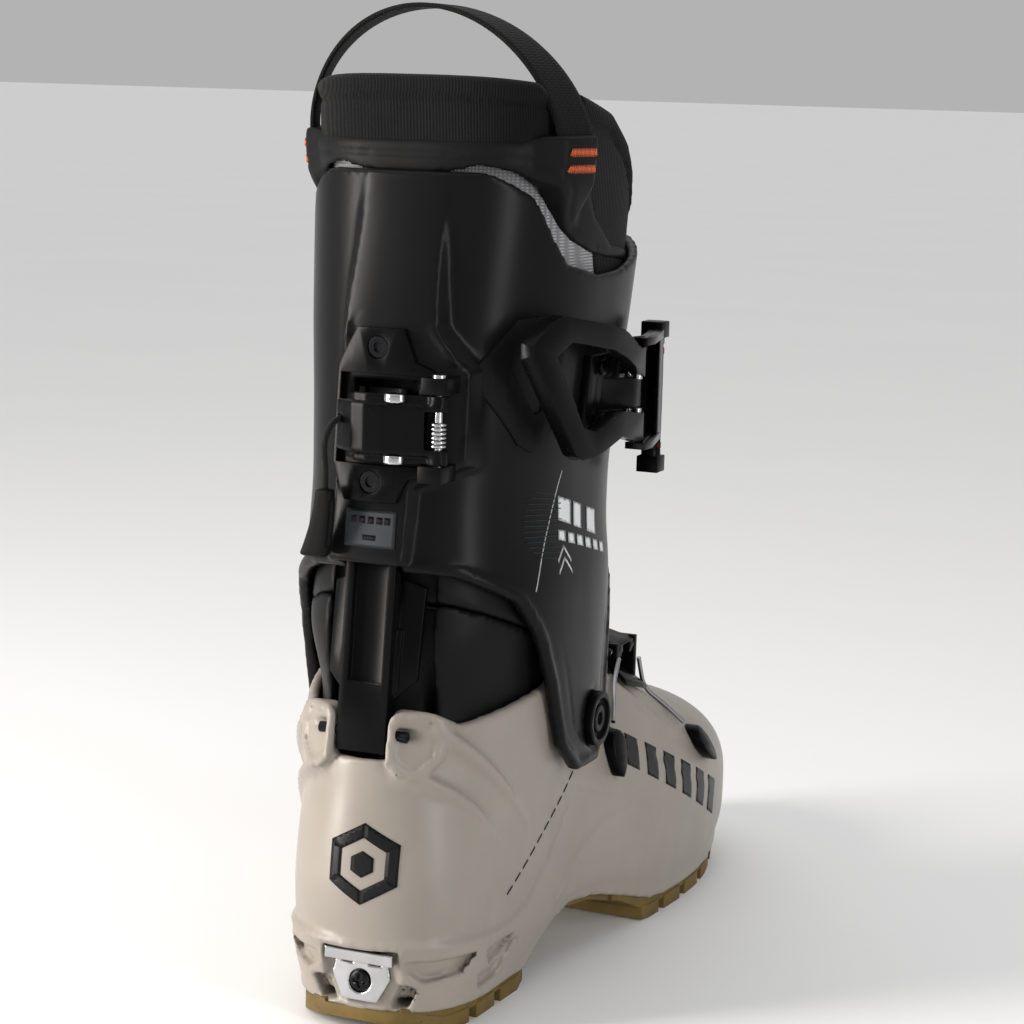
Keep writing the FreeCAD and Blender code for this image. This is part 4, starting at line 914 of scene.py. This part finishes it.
def loop_line(depth, steps=60):
    """Line of the pull loop seen from behind, depth inside its outer face, as (x, z) points."""
    half, rise = LOOP_HALF - depth, LOOP_TOP - depth - LOOP_Z
    line = [(LOOP_X + half - 2.4, LOOP_Z - 9)]
    for k in range(steps + 1):
        across, up = math.cos(math.pi * k / steps), math.sin(math.pi * k / steps)
        line.append((LOOP_X + half * across - LOOP_LEAN * up, LOOP_Z + rise * up ** 1.1))
    return line + [(LOOP_X - half + 2.4, LOOP_Z - 9)]


def loop_inside(g, depth):
    """Distance to the space under the loop, depth inside its outer face."""
    return polygon(loop_line(depth, 24), g.x, g.z)


def band(name, middle, across, wide, thick, edge_bulge=0.5, columns=9):
    """Flat webbing along a line of points: across is the direction of its width, or a list of them."""
    middle = [Vector(p) for p in middle]
    spots = [2 * k / (columns - 1) - 1 for k in range(columns)]
    ring = [(s, 0.5 * (1 - 0.35 * abs(s) ** 6)) for s in spots]
    ring += [(s, -h) for s, h in reversed(ring)]
    rows = []
    for k, point in enumerate(middle):
        along = (middle[min(k + 1, len(middle) - 1)] - middle[max(k - 1, 0)]).normalized()
        side = Vector(across[k]) if isinstance(across, list) else Vector(across)
        side = (side - along * side.dot(along)).normalized()
        out = along.cross(side)
        rows.append([point + side * (s * wide / 2) + out * (h * thick * (1 + edge_bulge * (abs(s) > 0.8)))
                     for s, h in ring])
    count = len(ring)
    points = [p for row in rows for p in row]
    faces = []
    for r in range(len(rows) - 1):
        for k in range(count):
            a, b = r * count + k, r * count + (k + 1) % count
            faces.append((a, b, b + count, a + count))
    piece = mesh_object(name, points, faces)
    close_ends(piece, count, len(rows))
    return piece


def close_ends(piece, count, rows):
    mesh = bmesh.new()
    mesh.from_mesh(piece.data)
    mesh.verts.ensure_lookup_table()
    mesh.faces.new([mesh.verts[k] for k in range(count)])
    mesh.faces.new([mesh.verts[(rows - 1) * count + k] for k in reversed(range(count))])
    bmesh.ops.recalc_face_normals(mesh, faces=mesh.faces)
    mesh.to_mesh(piece.data)
    mesh.free()
    piece.data.shade_smooth()


def make_loop():
    outer, inner = loop_line(0.0), loop_line(LOOP_T)
    middle = [((a[0] + b[0]) / 2, LOOP_Y, (a[1] + b[1]) / 2) for a, b in zip(outer, inner)]
    slant = [(LOOP_SLANT * (x - LOOP_X) / LOOP_HALF, 1, 0) for x, y, z in middle]
    strap = band("pull_loop_webbing", middle, slant, LOOP_WIDE, LOOP_T)
    place(strap, "cuff", WEBBING, "webbing", "pull_loop")


def make_bar_tacks(panel):
    """Two rows of zigzag stitches across each end of the loop, sewn through the panel."""
    skin = surface_of(panel)
    for side, name in ((1, "lateral"), (-1, "medial")):
        for row, z in enumerate((295.6, 301.2)):
            stitches = []
            for k in range(29):
                start = Vector((side * 90, LOOP_Y - 7.0 + 0.5 * k, z + (1.0 if k % 2 else -1.0)))
                hit = skin.ray_cast(start, Vector((-side, 0, 0)))[0]
                stitches.append((hit or start) + Vector((side * 0.25, 0, 0)))
            tack = band("bar_tack_%s_%d" % (name, row), stitches, (0, 0.35, 1), 1.0, 0.6, 0.0, 5)
            place(tack, "cuff", ORANGE, "webbing")


make_liner()
make_ankle()
BACK_PANEL = make_collar()
make_loop()

# ---------------- strap of the cuff
STRAP_LINE = [(56.0, 96.6), (53.0, 101.0), (49.0, 106.0), (41.5, 112.6), (30, 119.0), (18, 123.4), (0, 125.8),
              (-18, 123.2), (-28, 118.2), (-36.8, 110.2), (-43.2, 100.2), (-48.6, 85.2), (-51.2, 70)]


def make_strap():
    line = bend(STRAP_LINE, 3)
    strap = band("cuff_strap_webbing", [(x, y, 210.0) for x, y in line], (0, 0, 1), 38.0, 2.2)
    paint(strap, WEBBING)
    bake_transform(strap)
    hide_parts("cuff_strap")
    for k, z in enumerate((192.4, 227.6)):
        edge = band("strap_edge_%d" % k, [(x, y, z) for x, y in line[:-6]], (0, 0, 1), 2.2, 2.6)
        paint(edge, STRAP_STRIPE)
        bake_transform(edge)


make_strap()

# ---------------- printed marks
def surface_of(piece):
    """Ray caster of a piece's mesh, in millimetres."""
    mesh = piece.data
    points = [v.co / MM for v in mesh.vertices]
    return BVHTree.FromPolygons(points, [tuple(f.vertices) for f in mesh.polygons])


def mark(name, target, outlines, axis, start, body, material, slot, lift=0.12, cell=1.2):
    """Thin print on a surface: flat outlines projected along an axis from start onto the target."""
    towards = Vector([0, 0, 0])
    towards[axis] = -1 if start > 0 else 1
    points, faces = [], []
    for outline in outlines:
        flat = bmesh.new()
        flat.faces.new([flat.verts.new((u, v, 0)) for u, v in outline])
        flat.normal_update()
        for direction in (0, 1):
            low, high = (pick(p[direction] for p in outline) for pick in (min, max))
            count = max(int((high - low) / cell), 1) + 1
            for k in range(1, count):
                at, normal = Vector((0, 0, 0)), Vector((0, 0, 0))
                at[direction] = low + (high - low) * k / count
                normal[direction] = 1
                geometry = flat.verts[:] + flat.edges[:] + flat.faces[:]
                bmesh.ops.bisect_plane(flat, geom=geometry, plane_co=at, plane_no=normal)
        flat.verts.index_update()
        first = len(points)
        for vertex in flat.verts:
            u, v = vertex.co.x, vertex.co.y
            origin = Vector((start, u, v)) if axis == 0 else Vector((u, start, v))
            hit, normal, _, _ = target.ray_cast(origin, towards)
            points.append(hit + normal * lift if hit else origin)
        faces += [[first + vertex.index for vertex in f.verts] for f in flat.faces]
        flat.free()
    piece = mesh_object(name, points, faces)
    thick = piece.modifiers.new("film", "SOLIDIFY")
    thick.thickness = 0.10 * MM
    thick.offset = 1
    apply_modifiers(piece)
    place(piece, body, material, slot)
    return piece


def four_sided(u, v, along, up):
    """Outline of a slanted block from one corner and its two sides."""
    (a, b), (c, d) = along, up
    return [(u, v), (u + a, v + b), (u + a + c, v + b + d), (u + c, v + d)]


def hexagon(u, v, radius):
    turns = [math.pi * (k + 0.5) / 3 for k in range(6)]
    return [(u + radius * math.cos(t), v + radius * math.sin(t)) for t in turns]


def hexagon_ring(u, v, outer, inner):
    a, b = hexagon(u, v, outer), hexagon(u, v, inner)
    return [[a[k], a[(k + 1) % 6], b[(k + 1) % 6], b[k]] for k in range(6)]


def make_badge(target):
    """Plain name plate low on the rear of the cuff, with blocks where its words would be."""
    plate = [(-9.3, 168.2), (9.3, 168.2), (9.3, 180.8), (-9.3, 180.8)]
    plate = mark("badge_plate", target, [plate], 1, -80, "cuff", SLATE, "badge", 0.25, 0.9)
    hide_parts("badge")
    bars = [four_sided(x, 176.2, (2.2, 0), (0, 2.4)) for x in (-7.2, -4.0, -0.8, 2.4, 5.2)]
    bars.append(four_sided(-2.4, 170.6, (4.8, 0), (0, 1.8)))
    mark("badge_bars", target, bars, 1, -80, "cuff", INK, "badge", 0.36, 0.9)


def make_shell_marks(target):
    """Hexagon behind the heel, growing bars along the forefoot and dashes over the arch."""
    u, v = HEEL_MARK
    heel = hexagon_ring(u, v, 14.0, 9.0) + [hexagon(u, v, 4.6)]
    mark("heel_mark", target, heel, 1, -80, "lower", INK, "hard_black")
    bars = [four_sided(72 + 14.5 * k, 82 - 7.0 * k, (8.5, -4.1), (2.5, 10.5 + 0.5 * k)) for k in range(8)]
    mark("side_bars", target, bars, 0, 90, "lower", INK, "hard_black")
    dashes = [four_sided(4 + 5.4 * k, 42.6 + 3.35 * k, (3.6, 2.2), (-0.3, 0.7)) for k in range(10)]
    mark("arch_dashes", target, dashes, 0, 90, "lower", SLATE, "hard_black")


def make_cuff_marks(target):
    """Line, two rows of blocks, two chevrons and a striped disc on the outer side of the cuff."""
    line = [four_sided(29.6, 190.7, (0.6, 0), (-19.8, -40.1))]
    mark("cuff_line", target, line, 0, 90, "cuff", PALE_INK, "badge")
    blocks = []
    for k, wide in enumerate((10, 7, 9)):
        near, far = 0.5 + 12.5 * k, 0.5 + 12.5 * k + wide
        blocks.append([(27 + near, 173.5 - 0.30 * near), (27 + far, 173.5 - 0.30 * far),
                       (27 + far, 182 - 0.28 * far), (27 + near, 182 - 0.28 * near)])
    for k in range(6):
        near = 0.5 + 7.6 * k
        blocks.append(four_sided(27 + near, 166.4 - 0.26 * near, (5.2, -1.3), (0, 3.8)))
    mark("cuff_blocks", target, blocks, 0, 90, "cuff", PALE_INK, "badge")
    chevrons = []
    for z in (155.5, 159.5):
        chevrons.append(four_sided(26, z, (5, 4.6), (0, -1.2)))
        chevrons.append(four_sided(31, z + 3.4, (0, 1.2), (5, -5.8)))
    mark("cuff_chevrons", target, chevrons, 0, 90, "cuff", PALE_INK, "badge")
    strokes = []
    for k in range(13):
        z = 162 + 1.9 * k
        half = math.sqrt(max(13.0 ** 2 - (z - 173.5) ** 2, 1.0))
        strokes.append(four_sided(19 - half, z, (2 * half, -2.2), (0, 0.4)))
    mark("cuff_disc", target, strokes, 0, 90, "cuff", SLATE, "badge")


make_shell_marks(surface_of(LOWER))
CUFF_SURFACE = surface_of(CUFF)
make_cuff_marks(CUFF_SURFACE)
make_badge(CUFF_SURFACE)
make_bar_tacks(BACK_PANEL)

# ---------------- walk lever
HINGE_X, LOCK_Y, LEVER_Z = 24.0, -28.6, 209.5
LEVER_PLAN = [(HINGE_X + 1, LOCK_Y + 2.6), (HINGE_X + 2, LOCK_Y - 2.8), (14, -34.0), (6, -35.6), (0, -36.2),
              (-5, -35.2), (-9, -33.2), (-12.6, -30.8), (-12.6, -28.2), (-6, -31.0), (4, -31.6), (12, -30.2),
              (17.4, LOCK_Y - 0.4)]


def make_lever():
    """Arched lever on its hinge barrel, with a steel catch above and one below."""
    g = Grid((-14, -38, 197), (28.5, -24, 222.5), 0.5)
    plan = polygon(LEVER_PLAN, g.x, g.y)
    middle = np.abs(g.z - LEVER_Z)
    main = smooth_max(plan, middle - 8.6, 1.2)
    neck = smooth_max(plan + 1.5, middle - 11.6, 0.8)
    from_hinge = np.hypot(g.x - HINGE_X, g.y - LOCK_Y)
    barrel = np.maximum(from_hinge - 3.4, middle - 11.6)
    lever = smooth_min(smooth_min(main, neck, 0.6), barrel, 0.8)
    gap = np.maximum(from_hinge - 5.0, middle - 6.4)
    lever = carve(lever, gap, 0.4)
    cord_hole = np.hypot(g.x - CORD_POINTS[0][0], g.z - CORD_POINTS[0][2]) - 1.5
    lever = carve(lever, cord_hole, 0.3)
    lever = contour("walk_lever", g, lever, 1)
    place(lever, "lock_lever", HARD_BLACK, "dark_steel", "lock_lever")
    catch = np.maximum(np.hypot((g.x - 9.5) * 0.8, g.y + 32.0) - 3.1, np.abs(middle - 10.3) - 1.5)
    catch = contour("lever_catches", g, carve(catch, plan + 6, 0.4), 1)
    place(catch, "lock_lever", STEEL, "steel", "lock_tooth")


make_lever()

# ---------------- heel fitting
HEEL_SCREW_Z = 19.0
HEEL_PLATE = [(-9.4, 27.5), (9.4, 27.5), (11.0, 20.6), (6.6, 12.2), (-6.6, 12.2), (-11.0, 20.6)]


def make_heel_fitting():
    """Slotted top plate, bevelled body and cross-head screw at the back of the heel."""
    g = Grid((HEEL_X - 15, -42, 10.5), (HEEL_X + 15, -35.5, 32), 0.33)
    u = np.abs(g.x - HEEL_X)
    top = box_field(g, (HEEL_X - 12.8, -41.2, 26.2), (HEEL_X + 12.8, -36.9, 30.2))
    slots = np.maximum(np.abs(u - 5.2) - 2.3, np.maximum(np.abs(g.z - 26.8) - 1.9, -g.y - 45))
    sides = polygon(HEEL_PLATE, g.x - HEEL_X, g.z)
    face = -39.3 + 0.12 * (g.z - 19) + 0.10 * np.maximum(u - 4.5, 0)
    plate = np.maximum(sides, np.maximum(face - g.y, g.y + 36.9))
    body = smooth_min(carve(plate, slots, 0.3), top, 0.5)
    seat = np.maximum(np.hypot(u, g.z - HEEL_SCREW_Z) - 4.1, g.y + 38.0)
    body = carve(body, seat, 0.3)
    body = contour("heel_fitting_plate", g, body, 1)
    place(body, "lower", STEEL, "steel", "heel_insert")
    head = np.hypot(u, g.z - HEEL_SCREW_Z)
    dome = np.maximum(head - 3.7, np.maximum(-40.2 + 0.05 * head ** 2 - g.y, g.y + 37.0))
    v = np.abs(g.z - HEEL_SCREW_Z)
    arms = np.minimum(np.maximum(u - 0.55, v - 2.5), np.maximum(v - 0.55, u - 2.5))
    dome = carve(dome, np.maximum(arms, g.y + 39.0), 0.2)
    screw = contour("heel_fitting_screw", g, dome, 1)
    place(screw, "lower", DARK_STEEL_AND_PAINTED_SHADE, "dark_steel", "heel_insert_screw")


make_heel_fitting()

# ---------------- hardware of the CAD
STAYS = [  # material, and the CAD nodes that stay as they are
    (STEEL, "toe_insert instep_pin hinge_pin hinge_spring buckle_pin link_pins"),
    # The upper and lower plate screws are near-black for the shade deep in their sockets: painted shade.
    (DARK_STEEL_AND_PAINTED_SHADE, "bar_pin plate_screw_upper plate_screw_lower buckle_rivets anchor_screws"),
    (CABLE_STEEL, "instep_cable_rear instep_cable_front"),
    (BOARD, "boot_board pivot_bush_lateral pivot_bush_medial"),
    (LINING, "footbed"),
    (CORD_BLACK, "cord_knot"),
]
EDGED = [  # material, width of the rounded edges in mm, and the CAD nodes that get them
    (HARD_BLACK, 0.7, "buckle_lever cable_guide_rear_lateral cable_guide_front_lateral"),
    (HARD_BLACK, 0.7, "cable_guide_rear_medial cable_guide_front_medial"),
    (HARD_BLACK, 0.5, "buckle_base strap_bar strap_anchor link_bar instep_catch instep_latch"),
    (HARD_BLACK, 0.4, "lock_plate"),
    (HARD_BLACK, 0.3, "pivot_cap_lateral pivot_cap_medial"),
    (DARK_STEEL_AND_PAINTED_SHADE, 0.35, "strap_link"),
    # The lever pad is near-black where the buckle lever's shadow falls on the cuff: partly a rubber pad,
    # partly painted shadow.
    (PAD_RUBBER_AND_PAINTED_SHADOW, 0.7, "lever_pad"),
    (GUM, 0.6, "heel_sole forefoot_sole"),
    (GUM, 0.5, "arch_strip"),
]
SLOT_OF = {part["node"]: part["material_slot"] for part in frame["record"]["subparts"]}
BODY_OF = {node: body for body, nodes in frame["record"]["behaviour"]["bodies"].items() for node in nodes}


def rounded_edges(node, material, width):
    """Copy of a CAD solid with its flat faces whole and its sharp edges rounded, as moulding leaves them."""
    mesh = bmesh.new()
    mesh.from_mesh(frame["nodes"][node].data)
    bmesh.ops.remove_doubles(mesh, verts=mesh.verts, dist=0.002 * MM)
    bmesh.ops.dissolve_limit(mesh, angle_limit=math.radians(3), verts=mesh.verts, edges=mesh.edges)
    data = bpy.data.meshes.new(node + "_edged")
    mesh.to_mesh(data)
    mesh.free()
    piece = linked(node + "_edged", data)
    bevel = piece.modifiers.new("rounded_edges", "BEVEL")
    bevel.width = width * MM
    bevel.segments = 2
    bevel.limit_method = "ANGLE"
    bevel.angle_limit = math.radians(32)
    apply_modifiers(piece)
    piece.data.set_sharp_from_angle(angle=math.radians(38))
    place(piece, BODY_OF[node], material, SLOT_OF[node], node)


for material, width, nodes in EDGED:
    for node in nodes.split():
        rounded_edges(node, material, width)
for material, nodes in STAYS:
    for node in nodes.split():
        paint(frame["nodes"][node], material)
